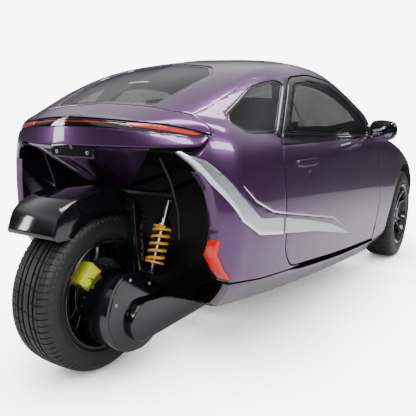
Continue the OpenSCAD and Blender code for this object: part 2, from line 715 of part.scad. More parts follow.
module rod(a, b, r) {
    v = b - a;
    translate(a) rotate([0, acos(v[2] / norm(v)), atan2(v[1], v[0])]) cylinder(r = r, h = norm(v),
        $fn = 32);
}
caliper_gap = 7;
joint_fit = 0.3;
knuckle_boss = 22;
arm_boss = 24;
arm_z = king_half + knuckle_boss / 2 + joint_fit + arm_boss / 2;
module knuckle() color("#3a3c40") {
    for (z = [-1, 1]) translate([-king_in, 0, z * king_half]) cylinder(r = 16, h = knuckle_boss,
        center = true);
    translate([-king_in - 12, -16, -king_half]) cube([24, 32, 2 * king_half]);
    translate([-king_in + 6, 0, 0]) rotate([0, 90, 0]) cylinder(r = 34, h = 20);
    translate([-king_in, 0, 0]) rotate([0, 90, 0]) cylinder(r = spindle_r, h = king_in + hub_out - 4);
    // brake caliper around the disc's front edge
    translate([0, -disc_r + 8, 0]) difference() {
        translate([front_disc_x - 30, -40, -52]) cube([64, 60, 104]);
        translate([front_disc_x - caliper_gap, -20, -60]) cube([disc_t + 2 * caliper_gap, 80, 120]);
    }
    // its arm to the upright, clear of the turning hub
    translate([-king_in + 4, -disc_r - 10, -18])
        cube([front_disc_x - hub_back - caliper_gap + king_in - 4, disc_r, 36]);
}
module knuckle_left() front_place(1) knuckle();
module knuckle_right() front_place(-1) knuckle();

rail_x = 225;
rail_w = 44;
bush_r = 18;
inner_x = rail_x + rail_w / 2 + bush_r + joint_fit;
arm_half = 105;
module wishbones() color("#3a3c40") both() translate([0, front_axle_y, tyre_r]) for (z = [-1, 1])
    difference() {
    union() {
        for (y = [-1, 1]) {
            rod([track / 2 - king_in - 10, 0, z * arm_z], [inner_x, y * arm_half, z * arm_z], 11);
            translate([inner_x, y * arm_half - 22, z * arm_z]) rotate([-90, 0, 0]) cylinder(r = bush_r,
                h = 44);
        }
        translate([track / 2 - king_in, 0, z * arm_z]) cylinder(r = 18, h = arm_boss, center = true);
    }
}
module subframes() color("#26272a") {
    translate([0, front_axle_y, tyre_r]) for (s = [-1, 1]) {
        for (z = [-1, 1]) translate([s * rail_x - rail_w / 2, -190, z * arm_z - 22]) cube([rail_w, 380,
            44]);
        for (y = [-150, 120]) translate([s * rail_x - 18, y, -arm_z]) cube([36, 30, 2 * arm_z]);
    }
    for (y = [-180, 150]) translate([-rail_x, front_axle_y + y, tyre_r - arm_z - 20]) cube([2 * rail_x,
        30, 40]);
    // towers over the front dampers
    for (s = [-1, 1], y = [-60, 40]) translate([s * 240 - 10, front_axle_y + y, tyre_r + arm_z])
        cube([20, 20, 406 - arm_z]);
    translate([-360, front_axle_y - 60, tyre_r + 405 + joint_fit]) cube([720, 120, 8]);
    // rails back to the firewall
    for (s = [-1, 1]) translate([s * rail_x - 20, front_axle_y + 190, tyre_r - arm_z - 22])
        cube([40, Y(firewall_y) - plate_t - joint_fit - front_axle_y - 190, 44]);
    // rear cross tube on two rails from the bulkhead
    t = [0, rear_axle_y + shock_top[0], shock_top[1]] + (16 + joint_fit) * unit([0,
        shock_top[0] - shock_low[0], shock_top[1] - shock_low[1]]);
    translate(t - [shock_x + 22, 0, 0]) rotate([0, 90, 0]) cylinder(r = 16, h = 2 * shock_x + 44);
    for (s = [-1, 1]) rod([s * rear_rail_x, t[1], t[2]], [s * rear_rail_x, Y(bulkhead_y) + 2.1,
        t[2] + 50], 13);
}
rear_rail_x = 120;
module front_dampers() color(amber) both() {
    a = [track / 2 - king_in - 62, front_axle_y, tyre_r - king_half - 10];
    b = [330, front_axle_y, tyre_r + 400];
    rod(a, b, 17);
    rod(a + (b - a) * 0.64, a + (b - a) * 0.93, spring_r);
}

// ---- rear suspension ------------------------------------------------------------------

leg_in = arm_x - arm_w / 2;
pivot_r = 14;
module swing_arm() color(dark) {
    for (s = [-1, 1]) mirror([s < 0 ? 1 : 0, 0, 0]) translate([leg_in, 0, 0]) rotate([90, 0, 90])
        linear_extrude(arm_w)
        polygon(soft([[rear_axle_y + 46, tyre_r - 50], [rear_axle_y + 46, tyre_r + 46],
            [rear_axle_y - 60, tyre_r + 50],
            [rear_axle_y - swing_l + 130, tyre_r + 10], [rear_axle_y - swing_l - 44, swing_z + 42],
            [rear_axle_y - swing_l - 40, swing_z - 50], [rear_axle_y - 120, tyre_r - 130]], 30));
    translate([-leg_in - 2, rear_axle_y, tyre_r]) rotate([0, 90, 0]) cylinder(r = axle_r,
        h = 2 * leg_in + 4);
    translate([-leg_in - 2, rear_axle_y - swing_l, swing_z]) rotate([0, 90, 0]) cylinder(r = pivot_r,
        h = 2 * leg_in + 4);
    translate([-leg_in + 35, rear_axle_y - swing_l, swing_z]) rotate([0, 90, 0]) cylinder(r = 30,
        h = 2 * leg_in - 70);
}
cover_in = tyre_w / 2 + 12;
cover_out = 235;
outer_leg_t = 34;
arm_room = cover_out + outer_leg_t + 12;
module cover_area(g = 0) offset(delta = g) polygon([for (p = soft([[-10, 450], [-215, 322], [-225,
    180], [-70, 100],
    [60, 120], [140, 190], [165, 290], [120, 400], [70, 442]], 50)) [rear_axle_y + p[0], p[1]]]);
module arm_covers() color(dark) both() {
    difference() {
        translate([cover_in, 0, 0]) rotate([90, 0, 90]) linear_extrude(cover_out - cover_in) cover_area();
        translate([0, 0, 0]) rotate([90, 0, 90]) linear_extrude(cover_out - 5) cover_area(-5);
        translate([leg_in - 0.3, rear_axle_y - 400, tyre_r - 170]) cube([arm_w + 0.6, 300, 230]);
    }
    translate([cover_out, 0, 0]) rotate([90, 0, 90]) linear_extrude(outer_leg_t) hull() {
        translate([rear_axle_y - 40, 235]) circle(88);
        translate([rear_axle_y - swing_l, 205]) circle(52);
    }
}

shock_x = arm_x;
shock_low = [-190, 376.6];
shock_top = [-322, 690];
module rear_dampers() for (s = [-1, 1]) {
    a = [s * shock_x, rear_axle_y + shock_low[0], shock_low[1]];
    b = [s * shock_x, rear_axle_y + shock_top[0], shock_top[1]];
    v = b - a;
    color(dark) rod(a, b, 16);
    color(amber) rod(a + v * 0.34, a + v * 0.86, spring_r);
}

module dampers() {
    front_dampers();
    rear_dampers();
}

guard_side = [[305, 612], [268, 712], [200, 748], [70, 776], [-60, 768], [-150, 722], [-228, 606]];
guard_w = 262;
guard_t = 5;
guard_points = [for (p = guard_side) [rear_axle_y + p[0], p[1]]];
module mudguard() color(dark) {
    difference() {
        translate([-guard_w / 2, 0, 0]) rotate([90, 0, 90]) linear_extrude(guard_w) polygon(guard_points);
        translate([guard_t - guard_w / 2, 0, 0]) rotate([90, 0, 90])
            linear_extrude(guard_w - 2 * guard_t) offset(delta = -guard_t)
            polygon(concat(guard_points, [[rear_axle_y - 228, 300], [rear_axle_y + 305, 300]]));
        translate([-guard_w, rear_axle_y, tyre_r]) rotate([0, 90, 0]) cylinder(r = tyre_r + 14,
            h = 2 * guard_w);
    }
    // stays down to the swing arm's legs
    for (s = [-1, 1]) translate([s > 0 ? guard_w / 2 - guard_t : -leg_in + joint_fit, 0, 0])
        rotate([90, 0, 90])
        linear_extrude(leg_in - joint_fit - guard_w / 2 + guard_t)
        polygon([[rear_axle_y - 150, 700], [rear_axle_y - 178, 346.3], [rear_axle_y - 138, 371.3],
            [rear_axle_y - 105, 720]]);
}
module rear_caliper() color(lime) translate([0, rear_axle_y, tyre_r]) {
    rotate([45, 0, 0]) translate([rear_disc_x - 30, -48, disc_r - 50]) difference() {
        cube([disc_t + 54, 96, 70]);
        translate([30 - caliper_gap, -1, -1]) cube([disc_t + 2 * caliper_gap, 98, 56]);
    }
    // bracket to the swing arm's right leg
    translate([rear_disc_x - 42, 0, 0]) rotate([90, 0, 90]) linear_extrude(12)
        polygon([[22, 14], [-14, 42], [-104, 92], [-70, 120], [0, 72], [30, 30]]);
    translate([-leg_in + joint_fit, 20, 32]) rotate([0, 90, 0]) cylinder(r = 11,
        h = leg_in + rear_disc_x - 41);
}

floor_pan();
battery_pack();
subframes();
hinge_posts();
front_bumper();
bonnet();
cowl();
fender_left();
fender_right();
roof();
quarter_left();
quarter_right();
sills();
tail_panel();
light_bar();
rear_lamps();
rear_apron();
plate_bracket();
wheel_housing();
windscreen();
rear_windows();
headlamps();
flank_blades();
seats();
dashboard();
steering_wheel();
door_left();
door_right();
door_glass_left();
door_glass_right();
mirror_left();
mirror_right();
wishbones();
dampers();
knuckle_left();
knuckle_right();
rim_front_left();
rim_front_right();
rim_rear();
tyre_front_left();
tyre_front_right();
tyre_rear();
swing_arm();
arm_covers();
mudguard();
rear_caliper();
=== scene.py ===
"""Looks of a three wheeled coupe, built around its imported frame."""

import math

import bmesh
import bpy
import numpy as np
from mathutils import Matrix, Vector
from mathutils.bvhtree import BVHTree


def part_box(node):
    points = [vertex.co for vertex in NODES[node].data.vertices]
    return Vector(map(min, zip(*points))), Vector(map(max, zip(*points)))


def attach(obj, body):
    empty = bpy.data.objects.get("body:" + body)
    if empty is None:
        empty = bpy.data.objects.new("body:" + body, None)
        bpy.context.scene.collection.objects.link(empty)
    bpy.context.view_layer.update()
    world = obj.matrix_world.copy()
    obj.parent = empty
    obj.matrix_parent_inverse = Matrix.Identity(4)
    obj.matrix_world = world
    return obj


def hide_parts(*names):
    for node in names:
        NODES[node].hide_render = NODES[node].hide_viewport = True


bl_info = {
    "name": "Three Wheeled Car",
    "version": (1, 0, 0),
    "blender": (4, 5, 0),
    "location": "View3D > Sidebar > Three Wheeled Car",
    "description": "Builds the looks of a three wheeled coupe around its packed frame",
    "category": "Object",
}

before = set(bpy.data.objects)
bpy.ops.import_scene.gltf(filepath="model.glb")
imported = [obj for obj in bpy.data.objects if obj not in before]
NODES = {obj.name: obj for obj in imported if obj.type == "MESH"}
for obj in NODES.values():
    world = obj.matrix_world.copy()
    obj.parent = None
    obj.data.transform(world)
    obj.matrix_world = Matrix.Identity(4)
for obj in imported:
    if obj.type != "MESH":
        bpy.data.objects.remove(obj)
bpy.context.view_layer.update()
REAR_LOW, REAR_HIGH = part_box("tyre_rear")
FRONT_LOW, FRONT_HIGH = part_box("tyre_front_left")
TYRE_R = (REAR_HIGH[2] - REAR_LOW[2]) / 2
TYRE_W = REAR_HIGH[0] - REAR_LOW[0]
REAR_Y = (REAR_HIGH[1] + REAR_LOW[1]) / 2
FRONT_Y = (FRONT_HIGH[1] + FRONT_LOW[1]) / 2
FRONT_X = (FRONT_HIGH[0] + FRONT_LOW[0]) / 2
MM = 0.001


# ---- sizes and colours ---------------------------------------------------------


class CarBody(bpy.types.PropertyGroup):
    paint: bpy.props.StringProperty(name="Paint", description="Metallic paint of the panels",
                                    default="#3f2147")
    fine: bpy.props.FloatProperty(
        name="Surface step", description="Distance between the body's drawn sections",
        default=0.03, min=0.015, max=0.08, unit="LENGTH")
    wall: bpy.props.FloatProperty(name="Wall", description="Thickness of a door or roof", default=0.044,
                                  unit="LENGTH")
    skin: bpy.props.FloatProperty(name="Skin", description="Thickness of a wing", default=0.005,
                                  unit="LENGTH")
    lid: bpy.props.FloatProperty(name="Lid", description="Thickness of the bonnet", default=0.022,
                                 unit="LENGTH")
    glass: bpy.props.StringProperty(name="Glass", description="Tint of the windows", default="#0d0e10")


class CarWheels(bpy.types.PropertyGroup):
    rubber: bpy.props.StringProperty(name="Rubber", description="Colour of the tyres", default="#0b0b0c")
    groove: bpy.props.FloatProperty(name="Groove", description="Depth of the tread's grooves",
                                    default=0.007, unit="LENGTH")
    steps: bpy.props.IntProperty(name="Steps", description="Steps round a tyre", default=320, min=80,
                                 max=480)
    spokes: bpy.props.IntProperty(name="Spokes", description="Twin spokes in a wheel", default=5, min=4,
                                  max=7)


# ---- small tools ------------------------------------------------------------------


def linear(colour):
    """An sRGB hex colour as linear red, green, blue and alpha."""
    parts = [int(colour[i:i + 2], 16) / 255 for i in (1, 3, 5)]
    return tuple(c / 12.92 if c <= 0.04045 else ((c + 0.055) / 1.055) ** 2.4 for c in parts) + (1.0,)


def deselect():
    if bpy.context.object and bpy.context.object.mode != "OBJECT":
        bpy.ops.object.mode_set(mode="OBJECT")
    bpy.ops.object.select_all(action="DESELECT")


def pick(obj):
    """Only this object is selected, and it is active."""
    deselect()
    obj.select_set(True)
    bpy.context.view_layer.objects.active = obj


def new_mesh(name, points, faces):
    mesh = bpy.data.meshes.new(name)
    mesh.from_pydata([tuple(p) for p in points], [], faces)
    mesh.validate()
    obj = bpy.data.objects.new(name, mesh)
    bpy.context.collection.objects.link(obj)
    return obj


def duplicate(obj, name):
    copy = obj.copy()
    copy.data = obj.data.copy()
    copy.name = name
    bpy.context.collection.objects.link(copy)
    return copy


def remove(*objects):
    for obj in objects:
        bpy.data.objects.remove(obj, do_unlink=True)


def apply(obj, kind, **settings):
    """Adds a modifier and applies it."""
    pick(obj)
    modifier = obj.modifiers.new(kind.lower(), kind)
    for key, value in settings.items():
        setattr(modifier, key, value)
    bpy.ops.object.modifier_apply(modifier=modifier.name)


def cut(obj, other, operation="DIFFERENCE"):
    apply(obj, "BOOLEAN", object=other, operation=operation, solver="MANIFOLD")


def smooth(obj, degrees=30):
    pick(obj)
    bpy.ops.object.shade_smooth_by_angle(angle=math.radians(degrees))


def place(obj):
    """Writes an object's place, turn and scale into its mesh."""
    pick(obj)
    bpy.ops.object.transform_apply(location=True, rotation=True, scale=True)


def mirrored(obj, name):
    copy = duplicate(obj, name)
    copy.data.transform(Matrix.Scale(-1, 4, (1, 0, 0)))
    copy.data.flip_normals()
    return copy


def join(name, objects):
    deselect()
    for obj in objects:
        obj.select_set(True)
    bpy.context.view_layer.objects.active = objects[0]
    if len(objects) > 1:
        bpy.ops.object.join()
    objects[0].name = name
    objects[0].data.name = name
    return objects[0]


def paint_with(obj, *materials):
    obj.data.materials.clear()
    for material in materials:
        obj.data.materials.append(material)


def piece(obj, body, slot, material, *nodes):
    """A finished piece: its finish, the body it rides on and the nodes it stands for."""
    if material is not None:
        paint_with(obj, material)
    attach(obj, body)
    if nodes:
        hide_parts(*nodes)


# ---- curves ---------------------------------------------------------------------


def soft(points, radius, steps=6):
    """A closed outline with each corner rounded, less where a side is short."""
    points = [np.array(p, float) for p in points]
    out = []
    for i, p in enumerate(points):
        a, b = points[i - 1], points[(i + 1) % len(points)]
        d = min(radius, np.linalg.norm(a - p) / 2.05, np.linalg.norm(b - p) / 2.05)
        s = p + (a - p) / np.linalg.norm(a - p) * d
        e = p + (b - p) / np.linalg.norm(b - p) * d
        for j in range(steps + 1):
            u = j / steps
            out.append(s * (1 - u) ** 2 + p * 2 * u * (1 - u) + e * u * u)
    return out


def both_sides(points):
    """A plan outline of the left half, closed by its mirror image."""
    return list(points) + [(-x, y) for x, y in reversed(points) if x > 0]


def grown(outline, distance):
    """A closed outline moved outwards by a distance, in its own units."""
    pts = [np.array(p, float) for p in outline]
    area = sum(pts[i - 1][0] * pts[i][1] - pts[i][0] * pts[i - 1][1] for i in range(len(pts)))
    turn = 1 if area > 0 else -1
    out = []
    for i, p in enumerate(pts):
        a, b = p - pts[i - 1], pts[(i + 1) % len(pts)] - p
        la, lb = np.linalg.norm(a), np.linalg.norm(b)
        if la < 1e-6 or lb < 1e-6:
            continue
        na, nb = np.array([a[1], -a[0]]) / la, np.array([b[1], -b[0]]) / lb
        n = na + nb
        n = n / max(np.dot(n, na), 0.35)
        out.append(p + n * distance * turn)
    return out


def car_y(y):
    """Row y of a place along the body, given in mm from the rear axle."""
    return REAR_Y + y * MM


def side_prism(outline, x0, x1):
    """A solid whose side view is an outline of (y, z) in mm, between two row x."""
    n = len(outline)
    points = [(x, car_y(y), z * MM) for x in (x0, x1) for y, z in outline]
    return prism_of(points, n)


def top_prism(outline, z0, z1):
    """A solid whose plan is an outline of (x, y) in mm, between two row z."""
    n = len(outline)
    points = [(x * MM, car_y(y), z) for z in (z0, z1) for x, y in outline]
    return prism_of(points, n)


def prism_of(points, n):
    faces = [list(range(n)), list(range(2 * n - 1, n - 1, -1))]
    faces += [[(i + 1) % n, i, n + i, n + (i + 1) % n] for i in range(n)]
    obj = new_mesh("cutter", points, faces)
    outward(obj)
    return obj


def outward(obj):
    """Every face of a closed mesh points out."""
    bm = bmesh.new()
    bm.from_mesh(obj.data)
    bmesh.ops.remove_doubles(bm, verts=bm.verts, dist=1e-6)
    bmesh.ops.recalc_face_normals(bm, faces=bm.faces)
    if bm.calc_volume(signed=True) < 0:
        bmesh.ops.reverse_faces(bm, faces=bm.faces)
    bm.to_mesh(obj.data)
    bm.free()


# ---- body form --------------------------------------------------------------------

# Lower body: y, then half-width and height of the sill, crease, widest line,
# shoulder and deck edge, then the height of the deck. All in mm, y from the rear axle.
LOW = [
    [-3215, 600, 262, 690, 310, 740, 450, 680, 572, 480, 628, 642],
    [-3050, 600, 205, 700, 270, 750, 460, 695, 662, 500, 738, 755],
    [-2760, 600, 178, 710, 258, 762, 490, 715, 768, 530, 852, 868],
    [-2450, 612, 172, 716, 255, 766, 510, 726, 846, 560, 915, 932],
    [-2100, 640, 170, 708, 252, 750, 540, 706, 915, 560, 970, 986],
    [-1800, 640, 170, 702, 255, 737, 560, 694, 948, 540, 985, 998],
    [-1200, 548, 170, 690, 300, 724, 590, 682, 968, 500, 1000, 1012],
    [-730, 455, 172, 656, 340, 708, 610, 664, 982, 450, 1022, 1035],
    [-370, 352, 180, 620, 378, 676, 630, 632, 1002, 400, 1062, 1077],
    [-200, 330, 190, 592, 405, 650, 640, 598, 1014, 370, 1090, 1104],
    [-50, 320, 200, 570, 425, 640, 650, 580, 1016, 350, 1084, 1098],
    [85, 320, 200, 560, 430, 640, 650, 565, 1006, 340, 1058, 1072],
]
# Greenhouse: y, half-width at the belt, half-width and height of the rail, height on the centre line
HIGH = [
    [-2205, 680, 640, 935, 962],
    [-1960, 668, 622, 1040, 1108],
    [-1760, 662, 590, 1135, 1220],
    [-1600, 660, 566, 1200, 1300],
    [-1480, 659, 552, 1240, 1340],
    [-1300, 657, 538, 1284, 1362],
    [-1100, 655, 528, 1304, 1366],
    [-900, 650, 522, 1302, 1358],
    [-620, 638, 515, 1258, 1312],
    [-350, 604, 492, 1166, 1224],
    [-100, 540, 440, 1062, 1112],
    [20, 500, 410, 1010, 1058],
]
NOSE, NOSE_ROUND = -3215, -2750
TAIL, TAIL_ROUND = 85, -200
SCREEN, SCREEN_ROUND = -2205, -1790
BELT_LOW, BELT = 840, 975
ROOF_CROWN, CROWN_AT = 14, 0.62
# Points round half a section: under the floor, skirt, side, then shoulder to roof
UNDER, SKIRT, SIDE, TOP = 5, 8, 26, 46


def at(table, y, c):
    """Column c of a table at y, on a smooth curve through its stations."""
    y = min(max(y, table[0][0]), table[-1][0])
    i = max(k for k in range(len(table) - 1) if table[k][0] <= y or k == 0)

    def slope(k):
        a, b = max(k - 1, 0), min(k + 1, len(table) - 1)
        return (table[b][c] - table[a][c]) / (table[b][0] - table[a][0])
    h = table[i + 1][0] - table[i][0]
    s = (y - table[i][0]) / h
    return ((2 * s ** 3 - 3 * s ** 2 + 1) * table[i][c] + (s ** 3 - 2 * s ** 2 + s) * slope(i) * h
            + (3 * s ** 2 - 2 * s ** 3) * table[i + 1][c] + (s ** 3 - s ** 2) * slope(i + 1) * h)


def ends(y, y0, y1, n):
    t = (y - y0) / (y1 - y0)
    return 1 if t <= 0 else max(1 - min(t, 1) ** n, 0) ** (1 / n)


def bend(a, p, b, k, steps):
    s, e = p + (a - p) * k / 2, p + (b - p) * k / 2
    return [s * (1 - u) ** 2 + p * 2 * u * (1 - u) + e * u * u for u in np.linspace(0, 1, steps)]


def spread(points, count):
    """A polyline as this many points, evenly spaced along it."""
    points = np.array(points)
    run = np.concatenate([[0], np.cumsum(np.linalg.norm(np.diff(points, axis=0), axis=1))])
    return np.stack([np.interp(np.linspace(0, run[-1], count), run, points[:, k]) for k in (0, 1)], axis=1)


def half_section(y, d):
    """Half a section of the body at y, from under the floor to the top, inset by d mm."""
    e = ends(y, NOSE_ROUND, NOSE, 2.5) * ends(y, TAIL_ROUND, TAIL, 2)
    g = ends(y, SCREEN_ROUND, SCREEN, 2)

    def w(c):
        return max(at(LOW, y, c) * e - d, 8)

    def h(c):
        return at(LOW, y, c)
    p = [np.array(q, float) for q in (
        (0, h(2) + d), (w(1), h(2) + d), (w(3), h(4) + d * 0.4), (w(5), h(6)),
        (w(7), h(8) - d * 0.3), (max(w(9), 5), h(10) - d), (0, h(11) - d))]
    under = [p[0]] + bend(p[0], p[1], p[2], 0.3, 4)
    skirt = [under[-1]] + bend(p[1], p[2], p[3], 0.16, 5)[:3]
    side = [skirt[-1]] + bend(p[1], p[2], p[3], 0.16, 5)[2:] + bend(p[2], p[3], p[4], 1, 12)
    shoulder = bend(p[3], p[4], p[5], 0.8, 16)
    side += shoulder[:8]
    deck = shoulder[7:] + bend(p[4], p[5], p[6], 1, 8) + [p[6]]
    if y > SCREEN:
        z = at(HIGH, y, 4) - d

        def v(c):
            return max(at(HIGH, y, c) * g - d, 8)
        q = [np.array(r, float) for r in (
            (v(1), BELT_LOW - 60), (v(1), BELT), (v(2), at(HIGH, y, 3) - d * 0.7),
            (v(2) * CROWN_AT, z - ROOF_CROWN), (0, z))]
        high = [q[0]] + bend(q[0], q[1], q[2], 0.5, 5) + bend(q[1], q[2], q[3], 0.72, 14)
        high += bend(q[2], q[3], q[4], 0.95, 8) + [q[4]]
        deck = stacked(deck, high)
    return (list(spread(under, UNDER + 1))[:-1] + list(spread(skirt, SKIRT + 1))[:-1]
            + list(spread(side, SIDE + 1))[:-1] + list(spread(deck, TOP + 1)))


def stacked(deck, high):
    """Deck and greenhouse as one line, with a fillet where they meet."""
    deck, high = np.array(deck), np.array(high)
    for i in range(len(deck) - 1):
        for j in range(len(high) - 1):
            a, b = deck[i + 1] - deck[i], high[j + 1] - high[j]
            cross = a[0] * b[1] - a[1] * b[0]
            if abs(cross) < 1e-9:
                continue
            c = high[j] - deck[i]
            s, t = (c[0] * b[1] - c[1] * b[0]) / cross, (c[0] * a[1] - c[1] * a[0]) / cross
            if 0 <= s <= 1 and 0 <= t <= 1:
                meet = deck[i] + a * s
                line = list(deck[:i + 1]) + [meet] + list(high[j + 1:])
                return filleted(line, i + 1, 45)
    return high if high[-1][1] > deck[-1][1] else deck


def filleted(line, at_index, reach):
    """A polyline with a fillet round one of its points."""
    line = np.array(line)
    run = np.concatenate([[0], np.cumsum(np.linalg.norm(np.diff(line, axis=0), axis=1))])
    centre = run[at_index]
    reach = min(reach, centre * 0.9, (run[-1] - centre) * 0.9)
    if reach < 1:
        return line
    s = [np.interp(centre - reach, run, line[:, k]) for k in (0, 1)]
    e = [np.interp(centre + reach, run, line[:, k]) for k in (0, 1)]
    p, s, e = line[at_index], np.array(s), np.array(e)
    arc = [s * (1 - u) ** 2 + p * 2 * u * (1 - u) + e * u * u for u in np.linspace(0, 1, 9)]
    before = [q for q, r in zip(line, run) if r < centre - reach]
    after = [q for q, r in zip(line, run) if r > centre + reach]
    return np.array(before + arc + after)


def stations(step):
    """Places along the body, close together where its ends round off."""
    front = [NOSE_ROUND + (NOSE - NOSE_ROUND) * math.sin(a) ** 0.8
             for a in np.linspace(math.pi / 2, 0.12, 26)]
    back = [TAIL_ROUND + (TAIL - TAIL_ROUND) * math.sin(a) for a in np.linspace(0.1, math.pi / 2, 26)]
    screen = [SCREEN + 4, SCREEN + 10, SCREEN + 18, SCREEN + 28, SCREEN + 40]
    middle = list(np.arange(front[-1] + step, back[0] - step * 0.5, step))
    return sorted(front + back + middle + screen)


def form(inset, name="form"):
    """The whole body as one closed solid, inset by a distance in metres."""
    d = inset / MM
    step = bpy.context.scene.car_body.fine / MM
    points, rings = [], []
    for y in stations(step):
        half = half_section(y, d)
        place_y = min(max(y, NOSE + d), TAIL - d)
        ring = [(x * MM, car_y(place_y), z * MM) for x, z in half]
        ring += [(-x * MM, car_y(place_y), z * MM) for x, z in reversed(half[1:-1])]
        rings.append(ring)
    rings = spaced(rings)
    n = len(rings[0])
    for ring in rings:
        points += ring
    faces = []
    for r in range(len(rings) - 1):
        for i in range(n):
            j = (i + 1) % n
            faces.append([r * n + i, r * n + j, (r + 1) * n + j, (r + 1) * n + i])
    faces.append(list(range(n))[::-1])
    faces.append([(len(rings) - 1) * n + i for i in range(n)])
    obj = new_mesh(name, points, faces)
    outward(obj)
    return obj


def spaced(rings):
    """The rings without those that an inset pushed onto the same place."""
    out = [rings[0]]
    for ring in rings[1:]:
        if ring[0][1] - out[-1][0][1] > 1e-5:
            out.append(ring)
    return out


FORMS = {}


def shell(outer, inner, name):
    """The layer of the body between two insets in metres."""
    key = (round(outer, 5), round(inner, 5))
    if key not in FORMS:
        a, b = form(outer), form(inner)
        cut(a, b)
        remove(b)
        FORMS[key] = a.data.copy()
        FORMS[key].use_fake_user = True
        remove(a)
    obj = bpy.data.objects.new(name, FORMS[key].copy())
    bpy.context.collection.objects.link(obj)
    return obj


# ---- outlines: side views are (y, z), plans are (x, y), in mm from the rear axle -------

DOOR = [(-1842, 274), (-1866, 600), (-1786, 925), (-1774, 1028), (-1702, 1118), (-1502, 1192),
        (-1292, 1256), (-1000, 1268), (-775, 1240), (-522, 978), (-480, 900), (-480, 640), (-512, 480),
        (-600, 388)]
DOOR_WINDOW = [(-1732, 946), (-1734, 1006), (-1652, 1096), (-1478, 1164), (-1272, 1226), (-1000, 1236),
               (-808, 1210), (-590, 988)]
QUARTER_WINDOW = [(-494, 990), (-702, 1208), (-640, 1222), (-540, 1206), (-440, 1178), (-240, 1070),
                  (-224, 1042), (-290, 990)]
WELL = [(-72, 940), (-40, 896), (-78, 790), (-92, 650), (-84, 540), (-120, 470), (-168, 418)]
RAIL = [(-768, 1252), (-500, 1216), (-440, 1198), (-200, 1094), (-120, 1064)]
CREASE = [(-1842, 262), (-1200, 308), (-730, 350), (-600, 372), (-370, 388), (-168, 412)]
LIGHT_SLOT = [(140, 1054), (70, 1050), (0, 1034), (-60, 1014), (-112, 988), (-60, 980), (0, 994),
              (70, 1012), (140, 1020)]
BLADE = [(-14, 930), (-70, 900), (-180, 762), (-300, 660), (-470, 640), (-470, 566), (-292, 594),
         (-180, 664), (-76, 812), (-44, 880)]
# Thin bright line above the blade, and both of them on the door
STRAKE = [(-190, 802), (-262, 738), (-372, 684), (-480, 660), (-480, 652), (-374, 676), (-266, 728),
          (-194, 794)]
DOOR_BLADE = [(-484, 636), (-484, 568), (-800, 520), (-1330, 410), (-1000, 520), (-700, 592)]
DOOR_STRAKE = [(-484, 660), (-484, 652), (-1000, 552), (-1300, 432), (-1000, 560)]
HEADLAMP = [(-3125, 610), (-3080, 690), (-2850, 800), (-2800, 800), (-2900, 720), (-3060, 620)]
FLANK_LAMP = [(-60, 600), (-99, 600), (-97, 545), (-133, 474), (-168, 432), (-100, 432)]
BONNET = [(0, -3075), (300, -3055), (440, -2985), (515, -2760), (548, -2450), (552, -2150), (430, -2172),
          (0, -2210)]
WINDSCREEN = [(0, -2176), (300, -2128), (560, -1975), (478, -1690), (430, -1600), (220, -1548), (0, -1540)]
REAR_GLASS = [(0, -98), (275, -104), (300, -200), (335, -440), (250, -560), (120, -606), (0, -618)]
FLOOR = [(0, -2146), (300, -2146), (595, -1960), (560, -1400), (480, -1000), (400, -680), (0, -680)]
TAIL_AREA = [(-88, 1200), (-88, 1080), (-118, 1056), (-106, 1000), (-66, 950), (-20, 944), (140, 944),
             (140, 1200)]
COWL = [(0, -2230), (560, -2230), (560, -1975), (0, -1975)]
FRONT_SEAM = -2955
# A place well ahead of the nose, from where cutters start
AHEAD = -3400
# Rounds of the corners of the doors and of the quarter windows
DOOR_ROUND, WINDOW_ROUND = 45, 25
# The bonnet's hinge pins: row x to each side, y in mm from the rear axle, and row z
LID_PIN = (0.38, -2265, 0.902)
DOOR_GAP, HINGE_GAP, LID_GAP, PANEL_GAP, SEAL = 7, 9, 14, 4, 0.3
GLASS_IN, GLASS_T = 0.005, 0.005
SIDE_IN, SIDE_OUT = 0.15, 1.0
LAMP_X = 0.25
ARCH = TYRE_R + 0.052
# Where the tread's shoulder starts, from the tyre's middle, and the depth of its narrow cuts
SHOULDER_X, SIPE = 0.0605, 0.0045
# A spoke's foot and tip, the circle of the wheel nuts, and how many there are
SPOKE_FOOT, SPOKE_TIP, NUT_CIRCLE, NUTS = 0.052, 0.213, 0.052, 5
DISC_HOLES = 24
# A coil's radius, its wire's, its seats', and the damper's body's
COIL_R, WIRE_R, SEAT_R, DAMPER_R = 0.0365, 0.0068, 0.045, 0.023
# A panel's faces this near its inner side get the inner finish
LINING = 0.008
# Edge rounds of thin glass and of the trim let into the panels
GLASS_EDGE, TRIM_EDGE = 0.0006, 0.0004


def from_side(outline, grow=0, radius=30, inner=SIDE_IN, outer=SIDE_OUT):
    return side_prism(grown(soft(outline, radius), grow), inner, outer)


def from_both_sides(outline, grow=0, radius=30):
    return from_side(outline, grow, radius, -SIDE_OUT, SIDE_OUT)


def from_top(outline, grow=0, radius=40, low=0.5, high=1.6):
    return top_prism(grown(soft(both_sides(outline), radius), grow), low, high)


def box_cutter(low, high):
    (x0, y0, z0), (x1, y1, z1) = low, high
    points = [(x, y, z) for x in (x0, x1) for y in (y0, y1) for z in (z0, z1)]
    faces = [(0, 1, 3, 2), (4, 6, 7, 5), (0, 4, 5, 1), (2, 3, 7, 6), (0, 2, 6, 4), (1, 5, 7, 3)]
    obj = new_mesh("cutter", points, faces)
    outward(obj)
    return obj


def cylinder_along_x(sides, radius, depth, centre):
    deselect()
    bpy.ops.mesh.primitive_cylinder_add(vertices=sides, radius=radius, depth=depth, location=centre,
                                        rotation=(0, math.pi / 2, 0))
    obj = bpy.context.object
    place(obj)
    return obj


def arch_cutter(radius=ARCH, inner=0.0, outer=SIDE_OUT):
    """The round space of a front wheel."""
    return cylinder_along_x(128, radius, outer - inner, ((inner + outer) / 2, FRONT_Y, TYRE_R))


